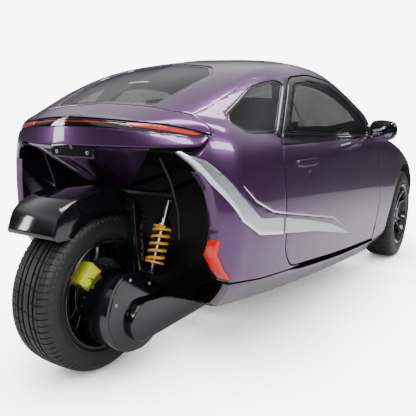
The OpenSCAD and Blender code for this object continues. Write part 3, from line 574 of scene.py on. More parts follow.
def slot_room(grow):
    """The space behind the tail's left half that the light bar fills."""
    return carve(shell(-0.002, 0.034, "slot"), [from_side(LIGHT_SLOT, grow, 8, 0.0)])


def carve(obj, keep=(), away=()):
    """Keeps what is inside every first solid and takes the others away."""
    for other in keep:
        cut(obj, other, "INTERSECT")
        remove(other)
    for other in away:
        cut(obj, other)
        remove(other)
    return obj


def softened(obj, width=0.0016, degrees=38):
    """A small round on the sharp edges, and smooth shading."""
    bm = bmesh.new()
    bm.from_mesh(obj.data)
    bmesh.ops.remove_doubles(bm, verts=bm.verts, dist=0.0004)
    bmesh.ops.dissolve_degenerate(bm, edges=bm.edges, dist=0.0003)
    bm.to_mesh(obj.data)
    bm.free()
    apply(obj, "BEVEL", width=width, segments=2, limit_method="ANGLE", angle_limit=math.radians(degrees),
          use_clamp_overlap=True, harden_normals=False)
    smooth(obj, 32)
    return obj


# ---- materials ----------------------------------------------------------------------


def add(tree, kind, values=None, links=None, **settings):
    """A node with its attributes, its sockets' values and what flows into them."""
    made = tree.nodes.new(kind)
    for key, value in settings.items():
        setattr(made, key, value)
    for key, value in (values or {}).items():
        made.inputs[key].default_value = value
    for key, source in (links or {}).items():
        tree.links.new(source, made.inputs[key])
    return made


def new_material(name):
    material = bpy.data.materials.new(name)
    material.use_nodes = True
    material.node_tree.nodes.clear()
    return material, material.node_tree


def speckled(name, dark, light, grain, bump, detail=2, **shader):
    """A finish that wanders between two hex colours over a grain in metres, with a little relief."""
    material, tree = new_material(name)
    place_in = add(tree, "ShaderNodeTexCoord")
    noise = add(tree, "ShaderNodeTexNoise", {"Scale": 1 / grain, "Detail": detail, "Roughness": 0.6},
                {"Vector": place_in.outputs["Object"]})
    mix = add(tree, "ShaderNodeMix", {6: linear(dark), 7: linear(light)}, {0: noise.outputs["Fac"]},
              data_type="RGBA")
    links = {"Base Color": mix.outputs[2]}
    if bump:
        relief = add(tree, "ShaderNodeBump", {"Strength": bump, "Distance": grain * 0.3},
                     {"Height": noise.outputs["Fac"]})
        links["Normal"] = relief.outputs["Normal"]
    body = add(tree, "ShaderNodeBsdfPrincipled", shader, links)
    add(tree, "ShaderNodeOutputMaterial", links={"Surface": body.outputs["BSDF"]})
    return material


def make_materials():
    body, wheels = bpy.context.scene.car_body, bpy.context.scene.car_wheels
    made = {}
    # Metallic base coat under a clear coat: flakes wander in tone, the coat gives crisp lines on soft glow.
    # Real flakes are 0.03 mm; they are drawn at 2 mm so that they show.
    made["paint"] = speckled("metallic_clear_coated_paint", body.paint, "#6a4476", 0.002, 0.02,
                             Metallic=0.85, Roughness=0.30, **{"Coat Weight": 1.0, "Coat Roughness": 0.03,
                                                               "Coat IOR": 1.5})
    # Piano black ABS, moulded and polished: deep black with sharp reflections.
    made["gloss"] = speckled("polished_black_abs", "#08080a", "#101013", 0.03, 0.01, Roughness=0.12,
                             IOR=1.5, **{"Coat Weight": 0.5, "Coat Roughness": 0.04})
    # Moulded polypropylene with a fine leather-like grain: soft grey sheen. Grain drawn at 1.5 mm.
    made["plastic"] = speckled("grained_black_polypropylene", "#121214", "#1c1c1f", 0.0015, 0.25,
                               Roughness=0.6, IOR=1.49)
    # Tinted tempered glass: thin, dark and clear, with sharp reflections.
    made["glass"] = speckled("tinted_tempered_glass", body.glass, "#121316", 0.2, 0, Roughness=0.02,
                             IOR=1.5, Alpha=0.66)
    # Mirror glass: a dark tinted metal film behind glass.
    made["mirror"] = speckled("tinted_mirror_glass", "#6a6d72", "#73767c", 0.1, 0, Metallic=1.0,
                              Roughness=0.03)
    # Red acrylic over reflectors: saturated, slightly glowing.
    made["red"] = speckled("red_acrylic_lens", "#8a0603", "#b30d06", 0.004, 0.1, Roughness=0.15, IOR=1.49,
                           **{"Coat Weight": 0.6, "Emission Color": linear("#ff1405"),
                              "Emission Strength": 0.35})
    # Clear polycarbonate lamp cover.
    made["clear"] = speckled("clear_polycarbonate", "#c9ced4", "#d8dce1", 0.05, 0, Roughness=0.05,
                             IOR=1.58, Alpha=0.35, **{"Coat Weight": 1.0})
    # Coated leather, embossed: pebbles 2 mm across.
    made["leather"] = speckled("embossed_coated_leather", "#1b1a1d", "#29272b", 0.002, 0.35, detail=4,
                               Roughness=0.5, IOR=1.5, **{"Sheen Weight": 0.15})
    # Cast aluminium alloy, gloss black powder coat.
    made["alloy"] = speckled("black_coated_alloy", "#141519", "#1e2025", 0.004, 0.04, Metallic=0.55,
                             Roughness=0.24, **{"Coat Weight": 0.9, "Coat Roughness": 0.08})
    # Welded steel, black e-coat: satin with slight orange peel.
    made["steel"] = speckled("black_coated_steel", "#17181a", "#232529", 0.006, 0.08, Metallic=0.3,
                             Roughness=0.42)
    # Turned cast iron disc: bright rubbed face.
    made["disc"] = speckled("turned_cast_iron", "#6b6d70", "#8d9094", 0.0025, 0.08, Metallic=1.0,
                            Roughness=0.34)
    # Zinc plated bolts.
    made["zinc"] = speckled("zinc_plated_steel", "#9da0a5", "#bfc2c6", 0.002, 0.05, Metallic=1.0,
                            Roughness=0.3)
    # Moulded rubber: nearly black, dull, with dust in its pores.
    made["rubber"] = speckled("moulded_rubber", wheels.rubber, "#141416", 0.003, 0.12, detail=5,
                              Roughness=0.5, IOR=1.52)
    # Powder coated spring steel, amber.
    made["spring"] = speckled("amber_powder_coated_steel", "#e09a10", "#f2b322", 0.002, 0.08,
                              Roughness=0.32, **{"Coat Weight": 0.4})
    # Painted caliper casting, lime yellow.
    made["lime"] = speckled("lime_enamelled_casting", "#b9bf1c", "#d3d533", 0.003, 0.15, Roughness=0.34,
                            **{"Coat Weight": 0.5})
    made["silver"] = blade_metal()
    # Diamond cut aluminium edge: near white, crisp.
    made["edge"] = speckled("diamond_cut_aluminium", "#e9ebf0", "#fbfcff", 0.003, 0.02, Metallic=0.3,
                            Roughness=0.2, **{"Coat Weight": 0.5})
    made["box"] = speckled("cast_battery_case", "#4d5054", "#5a5d61", 0.003, 0.1, Roughness=0.55)
    # Light bar insert: dark smoked acrylic.
    made["smoke"] = speckled("smoked_acrylic", "#070708", "#0c0b0d", 0.05, 0, Roughness=0.06, IOR=1.49,
                             **{"Coat Weight": 1.0})
    # Woven carpet over the cabin floor, drawn with 3 mm loops.
    made["carpet"] = speckled("looped_black_carpet", "#0c0c0d", "#1d1d20", 0.003, 0.8, detail=5,
                              Roughness=0.95)
    return made


def blade_metal():
    """Satin aluminium inlay: brushed along the blade, with a painted reflection that makes it bright at its
    low end and darker and more streaked towards the top.
    """
    material, tree = new_material("brushed_aluminium_painted_reflection")
    where = add(tree, "ShaderNodeTexCoord")
    turned = add(tree, "ShaderNodeMapping", links={"Vector": where.outputs["Object"]},
                 vector_type="TEXTURE")
    turned.inputs["Rotation"].default_value = (math.radians(-42), 0, 0)
    turned.inputs["Scale"].default_value = (0.02, 0.3, 0.004)
    brushed = add(tree, "ShaderNodeTexNoise", {"Scale": 1.0, "Detail": 4, "Roughness": 0.7},
                  {"Vector": turned.outputs["Vector"]})
    parts = add(tree, "ShaderNodeSeparateXYZ", links={"Vector": where.outputs["Object"]})
    # Painted reflection: by height, the blade is painted bright low down and dark towards its top.
    height = add(tree, "ShaderNodeMapRange", {"From Min": 0.66, "From Max": 0.93, "To Min": 0.0,
                                              "To Max": 1.0}, {"Value": parts.outputs["Z"]})
    brushed_grain = add(tree, "ShaderNodeMath", {1: 1.0}, {0: brushed.outputs["Fac"]}, operation="MULTIPLY")
    painted_dark_top = add(tree, "ShaderNodeMix", {6: linear("#83838f"), 7: linear("#2f2a38")}, {0: brushed_grain.outputs[0]},
               data_type="RGBA")
    bright = add(tree, "ShaderNodeMix", {6: linear("#dfe1e9"), 7: linear("#8f91a0")}, {0: brushed_grain.outputs[0]},
                 data_type="RGBA")
    colour = add(tree, "ShaderNodeMix", links={0: height.outputs["Result"], 6: bright.outputs[2],
                                               7: painted_dark_top.outputs[2]}, data_type="RGBA")
    relief = add(tree, "ShaderNodeBump", {"Strength": 0.2, "Distance": 0.0005},
                 {"Height": brushed.outputs["Fac"]})
    body = add(tree, "ShaderNodeBsdfPrincipled", {"Metallic": 0.35, "Roughness": 0.34, "Coat Weight": 0.5},
               {"Base Color": colour.outputs[2], "Normal": relief.outputs["Normal"]})
    add(tree, "ShaderNodeOutputMaterial", links={"Surface": body.outputs["BSDF"]})
    return material


MATERIALS = {}


def finish_named(key):
    if not MATERIALS:
        MATERIALS.update(make_materials())
    return MATERIALS[key]


# ---- operators: body ------------------------------------------------------------------


class CarOperator(bpy.types.Operator):
    bl_options = {"REGISTER", "UNDO"}


def two_sides(obj, name, node_name, body_name, slot, material, *more):
    """The left piece and its mirror image, each on its own body and standing for its own node."""
    other = mirrored(obj, f"{name}_right")
    obj.name = f"{name}_left"
    for item, side in ((obj, "left"), (other, "right")):
        body = body_name.format(side)
        nodes = [n.format(side) for n in (node_name, *more) if n]
        piece(item, body, slot, material, *nodes)
    return obj, other


def lined(obj, key, inner_key, depth, last=9.0):
    """Paint outside and another finish on the faces that look inwards, up to a row y."""
    paint_with(obj, finish_named(key), finish_named(inner_key))
    outer = form(depth)
    tree = BVHTree.FromPolygons([v.co for v in outer.data.vertices],
                                [p.vertices for p in outer.data.polygons])
    for poly in obj.data.polygons:
        near, normal = tree.find_nearest(poly.center)[:2]
        inside = (poly.center - near).dot(normal) < 0.0005 and poly.center.y < last
        poly.material_index = 1 if inside else 0
    remove(outer)
    return obj


class CAR_OT_front(CarOperator):
    """Bumper skin, bonnet, cowl and front wings"""
    bl_idname = "car.front"
    bl_label = "Front Panels"

    def execute(self, context):
        body = context.scene.car_body
        seam = FRONT_SEAM - PANEL_GAP / 2
        front = [(AHEAD, 100), (AHEAD, 900), (seam, 900), (seam, 100)]
        bumper = carve(
            shell(0, body.skin, "bumper_skin"), [side_prism(front, -SIDE_OUT, SIDE_OUT)],
            [from_top(BONNET, DOOR_GAP / 2), from_side(HEADLAMP, 0, 20, LAMP_X),
             from_side(HEADLAMP, 0, 20, -SIDE_OUT, -LAMP_X), *self.intakes()])
        softened(bumper)
        piece(bumper, "body", "paint", finish_named("paint"), "front_bumper")
        backing = carve(shell(0.016, 0.020, "grille_backing"),
                        [box_cutter((-0.60, car_y(AHEAD), 0.25), (0.60, car_y(-3000), 0.47))])
        slats = [carve(shell(0.004, 0.016, "slat"),
                       [box_cutter((-0.34, car_y(AHEAD), z), (0.34, car_y(-3080), z + 0.006))])
                 for z in (0.305, 0.327, 0.349)]
        piece(join("grille", [softened(backing), *slats]), "body", "black_matte", finish_named("plastic"))
        lid = carve(shell(0, body.lid, "bonnet_lid"), [from_top(BONNET, -DOOR_GAP / 2)],
                    [from_side(HEADLAMP, DOOR_GAP, 20, LAMP_X),
                     from_side(HEADLAMP, DOOR_GAP, 20, -SIDE_OUT, -LAMP_X)])
        softened(lid)
        lined(lid, "paint", "steel", body.lid - 0.003)
        eyes = self.lid_eyes()
        piece(lid, "bonnet", "paint", None, "bonnet")
        piece(eyes, "bonnet", "steel", finish_named("steel"))
        cowl = carve(
            shell(0.002, body.skin + 0.002, "cowl_panel"), [from_top(COWL, -0.3, 1)],
            [from_top(BONNET, LID_GAP - DOOR_GAP / 2), from_top(WINDSCREEN, SEAL)])
        softened(cowl)
        piece(cowl, "body", "black_matte", finish_named("plastic"), "cowl")
        seam = FRONT_SEAM + PANEL_GAP / 2
        area = [(seam, 200), (-2100, 250), (-1840, 264), (-1790, 800), (-1700, 940), (-1700, 1005),
                (-1990, 1010), (-2240, 1010), (seam, 1000)]
        wing = carve(
            shell(0, body.skin, "wing"), [side_prism(area, 0.0, SIDE_OUT)],
            [from_side(DOOR, HINGE_GAP - DOOR_GAP / 2, DOOR_ROUND), from_top(BONNET, DOOR_GAP / 2),
             from_top(WINDSCREEN, SEAL), from_top(COWL, 0, 1), arch_cutter(),
             from_side(HEADLAMP, 0, 20, LAMP_X)])
        softened(wing)
        two_sides(wing, "front_wing", "fender_{}", "body", "paint", finish_named("paint"))
        liner = self.arch_liner(body)
        other = mirrored(liner, "arch_liner_right")
        for item in (liner, other):
            piece(item, "body", "black_matte", finish_named("plastic"))
        return {"FINISHED"}

    def intakes(self):
        """Lower grille opening and two corner vents in the bumper."""
        cutters = [box_cutter((-0.33, car_y(AHEAD), 0.285), (0.33, car_y(-3080), 0.375))]
        for s in (-1, 1):
            a, b = sorted((s * 0.44, s * 0.56))
            cutters.append(box_cutter((a, car_y(AHEAD), 0.33), (b, car_y(-3040), 0.45)))
        return cutters

    def lid_eyes(self):
        """Hinge eyes under the rear corners of the bonnet."""
        eyes = []
        x, y, z = LID_PIN
        for s in (-1, 1):
            spot = (s * x, car_y(y), z)
            eye = cylinder_along_x(48, 0.015, 0.01, spot)
            arm = box_cutter((spot[0] - 0.005, car_y(y - 55), z + 0.010),
                             (spot[0] + 0.005, car_y(y + 13), z + 0.029))
            cut(eye, arm, "UNION")
            remove(arm)
            hole = cylinder_along_x(32, 0.0073, 0.03, spot)
            cut(eye, hole)
            remove(hole)
            softened(eye, 0.001)
            eyes.append(eye)
        return join("bonnet_hinge_eyes", eyes)

    def arch_liner(self, body):
        """Inner wheel arch of the left front wheel."""
        wall_x = 0.31
        outer = arch_cutter(ARCH + 0.012, wall_x)
        inner = arch_cutter(ARCH + 0.008, wall_x + 0.004, SIDE_OUT + 0.1)
        cut(outer, inner)
        inside = form(body.skin + 0.003)
        cut(outer, inside, "INTERSECT")
        floor = box_cutter((0, FRONT_Y - 1, 0), (1, FRONT_Y + 1, 0.29))
        cut(outer, floor)
        away = from_side(DOOR, 14, DOOR_ROUND)
        cut(outer, away)
        remove(inner, inside, floor, away)
        outer.name = "arch_liner_left"
        return softened(outer)


class CAR_OT_sides(CarOperator):
    """Doors, quarter panels, sills and roof"""
    bl_idname = "car.sides"
    bl_label = "Side Panels"

    def execute(self, context):
        body = context.scene.car_body
        self.doors(body)
        area = ([(-1010, 1264), (-1010, 372), (-600, 376), (-370, 392)] + WELL[::-1] + [(-112, 1000)]
                + [(y, z - 0.3) for y, z in RAIL[::-1]])
        quarter = carve(
            shell(0, body.wall, "quarter"), [side_prism(area, SIDE_IN, SIDE_OUT)],
            [from_side(DOOR, DOOR_GAP / 2, DOOR_ROUND), from_side(QUARTER_WINDOW, 0, WINDOW_ROUND),
             from_side(BLADE, 0.8, 12, 0.38), from_side(FLANK_LAMP, 0.8, 3, 0.0), slot_room(0.8),
             from_side(STRAKE, 0.5, 1, 0.3)])
        softened(quarter)
        lined(quarter, "paint", "plastic", body.wall - LINING, car_y(-420))
        two_sides(quarter, "quarter_panel", "quarter_{}", "body", "paint", None)
        area = ([(-2120, 100), (-2120, 246), (-1842, 254)] + [(y, z - PANEL_GAP) for y, z in CREASE[1:]]
                + [(-330, 250), (-560, 100)])
        sill = carve(
            shell(0, 0.02, "sill"), [side_prism(area, 0.0, SIDE_OUT)],
            [from_top(FLOOR, SEAL, 1, 0.1, 0.3), arch_cutter(),
             box_cutter((-0.3, car_y(-702), 0), (0.281, car_y(400), 0.7))])
        softened(sill)
        other = mirrored(sill, "sill_right")
        both = join("sill_panels", [sill, other])
        piece(both, "body", "paint", finish_named("paint"), "sills")
        outline = ([(-1968, 1012), (-2100, 1500), (-93, 1500), (-93, 1082)] + RAIL[::-1]
                   + [(-1010, 1264.3), (-1012, 1200), (-1290, 1200), (-1600, 1100), (-1760, 1012)])
        top = carve(
            shell(0, body.wall, "roof"), [side_prism(outline, -SIDE_OUT, SIDE_OUT)],
            [from_side(DOOR, DOOR_GAP / 2, DOOR_ROUND),
             from_side(DOOR, DOOR_GAP / 2, DOOR_ROUND, -SIDE_OUT, -SIDE_IN),
             from_top(WINDSCREEN), from_top(REAR_GLASS)])
        softened(top)
        lined(top, "paint", "leather", body.wall - LINING)
        piece(top, "body", "paint", None, "roof")
        return {"FINISHED"}

    def doors(self, body):
        door = carve(shell(0, body.wall, "door"), [from_side(DOOR, -DOOR_GAP / 2, DOOR_ROUND)],
                     [from_side(DOOR_WINDOW, 0, WINDOW_ROUND)])
        belt = box_cutter((0, -2, 0), (1, 3, 0.938))
        frame_top = duplicate(door, "door_frame")
        cut(frame_top, belt)
        cut(door, belt, "INTERSECT")
        remove(belt)
        scoop = self.scoop((0.5, car_y(-800), 0.775), (0.9, car_y(-600), 0.868))
        cut(door, scoop)
        remove(scoop)
        blade = from_side(DOOR_BLADE, 0, 3, 0.3)
        inlay = carve(shell(-0.0006, 0.004, "door_blade"), [blade])
        inner_room = carve(shell(-0.002, 0.0045, "room"), [from_side(DOOR_BLADE, 0.4, 3, 0.3)])
        cut(door, inner_room)
        remove(inner_room)
        strake = carve(shell(-0.0006, 0.004, "door_strake"), [from_side(DOOR_STRAKE, 0, 1, 0.3)])
        line_room = carve(shell(-0.002, 0.0045, "room"), [from_side(DOOR_STRAKE, 0.4, 1, 0.3)])
        cut(door, line_room)
        remove(line_room)
        softened(door)
        lined(door, "paint", "leather", body.wall - LINING)
        two_sides(door, "door_panel", "door_{}", "door_{}", "paint", None)
        softened(frame_top)
        two_sides(frame_top, "door_window_frame", "", "door_{}", "black_gloss", finish_named("gloss"))
        trim = join("door_inlay", [softened(inlay, TRIM_EDGE), softened(strake, TRIM_EDGE)])
        two_sides(trim, "door_inlay", "", "door_{}", "silver_trim", finish_named("silver"))
        handle = self.handle()
        two_sides(handle, "door_handle", "", "door_{}", "paint", finish_named("paint"))

    def scoop(self, low, high):
        """A rounded hollow behind the handle."""
        deselect()
        centre = [(a + b) / 2 for a, b in zip(low, high)]
        bpy.ops.mesh.primitive_uv_sphere_add(segments=48, ring_count=24, radius=1.0,
                                             location=(0.712, centre[1], centre[2] - 0.012))
        obj = bpy.context.object
        obj.scale = (0.03, (high[1] - low[1]) / 2 * 0.98, (high[2] - low[2]) / 2)
        place(obj)
        return obj

    def handle(self):
        """A flush grip over the upper half of the hollow."""
        outline = [(-806, 848), (-806, 872), (-594, 872), (-594, 848), (-640, 838), (-760, 838)]
        grip = carve(shell(-0.009, 0.001, "handle"), [from_side(outline, 0, 14, 0.4)])
        return softened(grip, 0.002)


class CAR_OT_tail(CarOperator):
    """Tail panel, light bar and lamps"""
    bl_idname = "car.tail"
    bl_label = "Tail"

    def execute(self, context):
        body = context.scene.car_body
        room = slot_room(0.6)
        tail = carve(shell(0, body.wall, "tail"), [from_both_sides(TAIL_AREA, 0, 2)],
                     [room, mirrored(room, "cutter"), from_top(REAR_GLASS, SEAL)])
        softened(tail)
        lined(tail, "paint", "plastic", body.wall - LINING, car_y(-90))
        piece(tail, "body", "paint", None, "tail_panel")
        lens = [(34, 1034), (0, 1026), (-60, 1004), (-84, 992), (-60, 990), (0, 1010), (34, 1018)]
        bar = carve(shell(0.008, body.wall - 0.0103, "light_bar_insert"),
                    [from_both_sides(LIGHT_SLOT, -SEAL, 8)],
                    [from_side(lens, 0.5, 2, LAMP_X), from_side(lens, 0.5, 2, -SIDE_OUT, -LAMP_X)])
        softened(bar, 0.001)
        piece(bar, "body", "black_gloss", finish_named("smoke"), "light_bar")
        self.bar_lines()
        lamp = carve(shell(0.005, body.wall - 0.0103, "lamp"), [from_side(lens, 0, 2, LAMP_X)])
        flank = carve(shell(0.001, body.wall - 0.002, "flank"), [
            from_side(FLANK_LAMP, -0.5, 3, 0.0),
            side_prism([(-430, 400), (-430, 1000)] + [(y - 1, z) for y, z in WELL], 0.0, SIDE_OUT)])
        left = join("lamps", [softened(lamp, 0.0008), softened(flank, 0.0008)])
        both = join("rear_lamp_lenses", [left, mirrored(left, "lamps_right")])
        piece(both, "body", "lamp_red", finish_named("red"), "rear_lamps")
        return {"FINISHED"}

    def bar_lines(self):
        """A thin red light line and a bright trim line along the bar."""
        middle = [((a[0] + b[0]) / 2, (a[1] + b[1]) / 2) for a, b in zip(LIGHT_SLOT[:4], LIGHT_SLOT[:4:-1])]
        outline = [(y, z + 4.5) for y, z in middle] + [(y, z + 2.3) for y, z in middle[::-1]]
        line = carve(shell(0.0065, 0.009, "light_line"), [side_prism(outline, -LAMP_X, LAMP_X)])
        piece(softened(line, TRIM_EDGE), "body", "lamp_red", finish_named("red"))
        top = [(y, z - 6) for y, z in LIGHT_SLOT[:5]] + [(y, z - 8.5) for y, z in LIGHT_SLOT[4::-1]]
        trim = carve(shell(0.004, 0.009, "light_trim"), [side_prism(top, -SIDE_OUT, SIDE_OUT)])
        piece(softened(trim, TRIM_EDGE), "body", "silver_trim", finish_named("alloy"))


class CAR_OT_glass(CarOperator):
    """Window glass with its black borders"""
    bl_idname = "car.glass"
    bl_label = "Glass"

    def execute(self, context):
        pane, border = (GLASS_IN, GLASS_IN + GLASS_T), (GLASS_IN - 0.0012, GLASS_IN)
        screen = carve(shell(*pane, "windscreen_pane"), [from_top(WINDSCREEN, -SEAL, low=0.9)])
        piece(softened(screen, GLASS_EDGE), "body", "glass", finish_named("glass"), "windscreen")
        back = carve(shell(*pane, "rear_pane"), [from_top(REAR_GLASS, -SEAL, low=0.9)])
        side = carve(shell(*pane, "quarter_pane"), [from_side(QUARTER_WINDOW, -SEAL, WINDOW_ROUND)])
        panes = join("rear_window_panes", [softened(back, GLASS_EDGE), softened(side, GLASS_EDGE),
                                           mirrored(side, "quarter_pane_right")])
        piece(panes, "body", "glass", finish_named("glass"), "rear_windows")
        door = carve(shell(*pane, "door_pane"), [from_side(DOOR_WINDOW, -SEAL, WINDOW_ROUND)])
        two_sides(softened(door, GLASS_EDGE), "door_pane", "door_glass_{}", "door_{}", "glass",
                  finish_named("glass"))
        area = [(-700, 1214), (-490, 990), (-486, 973), (-519, 975), (-764, 1243), (-716, 1232)]
        pillar = carve(
            shell(-0.0008, 0.0012, "pillar"), [side_prism(area, SIDE_IN, SIDE_OUT)],
            [from_side(DOOR, DOOR_GAP / 2, DOOR_ROUND), from_side(QUARTER_WINDOW, 0, WINDOW_ROUND)])
        left = softened(pillar, TRIM_EDGE)
        piece(join("pillar_covers", [left, mirrored(left, "pillar_right")]), "body", "black_gloss",
              finish_named("gloss"))
        rings = [
            self.ring(border, from_top(WINDSCREEN, -SEAL, low=0.9), from_top(WINDSCREEN, -26, low=0.9)),
            self.ring(border, from_top(REAR_GLASS, -SEAL, low=0.9), from_top(REAR_GLASS, -20, low=0.9)),
            self.ring(border, from_side(QUARTER_WINDOW, -SEAL, WINDOW_ROUND),
                      from_side(QUARTER_WINDOW, -12, WINDOW_ROUND))]
        rings.append(mirrored(rings[2], "ring"))
        piece(join("window_borders", rings), "body", "black_gloss", finish_named("gloss"))
        ring = self.ring(border, from_side(DOOR_WINDOW, -SEAL, WINDOW_ROUND),
                         from_side(DOOR_WINDOW, -11, WINDOW_ROUND))
        divider = carve(shell(GLASS_IN - 0.0025, GLASS_IN - 0.0002, "divider"),
                        [from_side([(-700, 1240), (-712, 1240), (-800, 940), (-785, 940)], 0, 1, 0.3),
                         from_side(DOOR_WINDOW, -4, WINDOW_ROUND)])
        two_sides(join("door_glass_border", [ring, softened(divider, 0.0005)]), "door_glass_border", "",
                  "door_{}", "black_gloss", finish_named("gloss"))
        belt = carve(shell(-0.003, 0.006, "belt"),
                     [from_side([(-1755, 938), (-1755, 951), (-492, 990), (-492, 974)], 0, 1, 0.3),
                      from_side(DOOR, -6, DOOR_ROUND)])
        two_sides(softened(belt, 0.001), "belt_trim", "", "door_{}", "black_gloss", finish_named("gloss"))
        return {"FINISHED"}

    def ring(self, layer, outer, inner):
        return softened(carve(shell(*layer, "border"), [outer], [inner]), 0.0003)


class CAR_OT_inlays(CarOperator):
    """Bright blade and strake along each flank, and the headlamps"""
    bl_idname = "car.inlays"
    bl_label = "Inlays"

    def execute(self, context):
        blade = carve(shell(0.0015, 0.02, "blade"), [from_side(BLADE, -SEAL, 12, 0.38)])
        strake = carve(shell(-0.0006, 0.006, "strake"), [from_side(STRAKE, 0, 1, 0.3)])
        rim = [(-470, 566), (-292, 594), (-180, 664), (-76, 812), (-44, 880), (-14, 930), (-22, 932),
               (-54, 886), (-88, 820), (-188, 674), (-296, 606), (-470, 579)]
        edge = carve(shell(-0.0004, 0.006, "edge"), [side_prism(rim, 0.38, SIDE_OUT)])
        bright = join("bright", [softened(edge, TRIM_EDGE), softened(strake, TRIM_EDGE)])
        both = join("flank_bright_edges", [bright, mirrored(bright, "bright_right")])
        piece(both, "body", "silver_trim", finish_named("edge"))
        left = softened(blade, 0.0012)
        both = join("flank_inlays", [left, mirrored(left, "flank_right")])
        piece(both, "body", "silver_trim", finish_named("silver"), "flank_blades")
        lamp = carve(shell(0.003, 0.008, "lens"), [from_side(HEADLAMP, -SEAL, 20, LAMP_X)])
        housing = carve(shell(0.03, 0.04, "housing"), [from_side(HEADLAMP, -SEAL, 20, LAMP_X)])
        both = join("headlamp_lenses", [softened(lamp, GLASS_EDGE), mirrored(lamp, "lens_right")])
        piece(both, "body", "lamp_clear", finish_named("clear"), "headlamps")
        beds = join("headlamp_beds", [softened(housing, GLASS_EDGE), mirrored(housing, "bed_right")])
        piece(beds, "body", "black_gloss", finish_named("gloss"))
        return {"FINISHED"}


# ---- operators: wheels, suspension, fittings ------------------------------------------


def revolve(profile, steps, centre, name):
    """A closed ring from a closed outline of (x, radius) turned about a wheel's axle."""
    angles = np.linspace(0, 2 * math.pi, steps, endpoint=False)
    n = len(profile)
    points = [(centre[0] + x, centre[1] + r * math.cos(a), centre[2] + r * math.sin(a)) for a in angles
              for x, r in profile]
    faces = [[i * n + j, i * n + (j + 1) % n, ((i + 1) % steps) * n + (j + 1) % n,
              ((i + 1) % steps) * n + j] for i in range(steps) for j in range(n)]
    obj = new_mesh(name, points, faces)
    outward(obj)
    return obj


def loft(rings, name):
    """A closed solid through rings of points."""
    n = len(rings[0])
    points = [p for ring in rings for p in ring]
    faces = [[k * n + i, k * n + (i + 1) % n, (k + 1) * n + (i + 1) % n, (k + 1) * n + i]
             for k in range(len(rings) - 1) for i in range(n)]
    faces += [list(range(n))[::-1], [(len(rings) - 1) * n + i for i in range(n)]]
    obj = new_mesh(name, points, faces)
    outward(obj)
    return obj


def tube(path, radius, name, sides=12):
    """A round bar of one or changing radius along points."""
    path = [Vector(p) for p in path]
    radii = radius if isinstance(radius, list) else [radius] * len(path)
    rings, side = [], None
    for i, p in enumerate(path):
        run = (path[min(i + 1, len(path) - 1)] - path[max(i - 1, 0)]).normalized()
        if side is None:
            side = run.orthogonal().normalized()
        side = (side - run * side.dot(run)).normalized()
        other = run.cross(side)
        rings.append([p + (side * math.cos(a) + other * math.sin(a)) * radii[i]
                      for a in np.linspace(0, 2 * math.pi, sides, endpoint=False)])
    return loft(rings, name)


def rod(a, b, radius, name="rod", sides=32):
    """A straight bar with softly rounded ends."""
    a, b = Vector(a), Vector(b)
    d = (b - a).normalized() * min(radius * 0.12, 0.002)
    return tube([a, a + d, b - d, b], [radius * 0.9, radius, radius, radius * 0.9], name, sides)


def bolt(spot, axis, radius=0.007, height=0.005):
    """A hexagon head on its washer."""
    spot, axis = Vector(spot), Vector(axis).normalized()
    washer = rod(spot, spot + axis * height * 0.3, radius * 1.5, sides=24)
    head = tube([spot, spot + axis * height * 0.85, spot + axis * height],
                [radius, radius, radius * 0.85], "head", 6)
    return join("bolt", [washer, head])


def refined(node, width, name, degrees=30):
    """A copy of a node with its flats cleaned and its edges rounded."""
    obj = duplicate(NODES[node], name)
    obj.parent = None
    pick(obj)
    obj.data.materials.clear()
    bm = bmesh.new()
    bm.from_mesh(obj.data)
    bmesh.ops.remove_doubles(bm, verts=bm.verts, dist=1e-5)
    bmesh.ops.dissolve_limit(bm, angle_limit=math.radians(1), verts=bm.verts, edges=bm.edges)
    bm.to_mesh(obj.data)
    bm.free()
    apply(obj, "BEVEL", width=width, segments=2, limit_method="ANGLE", angle_limit=math.radians(degrees),
          use_clamp_overlap=True)
    smooth(obj, 35)
    return obj


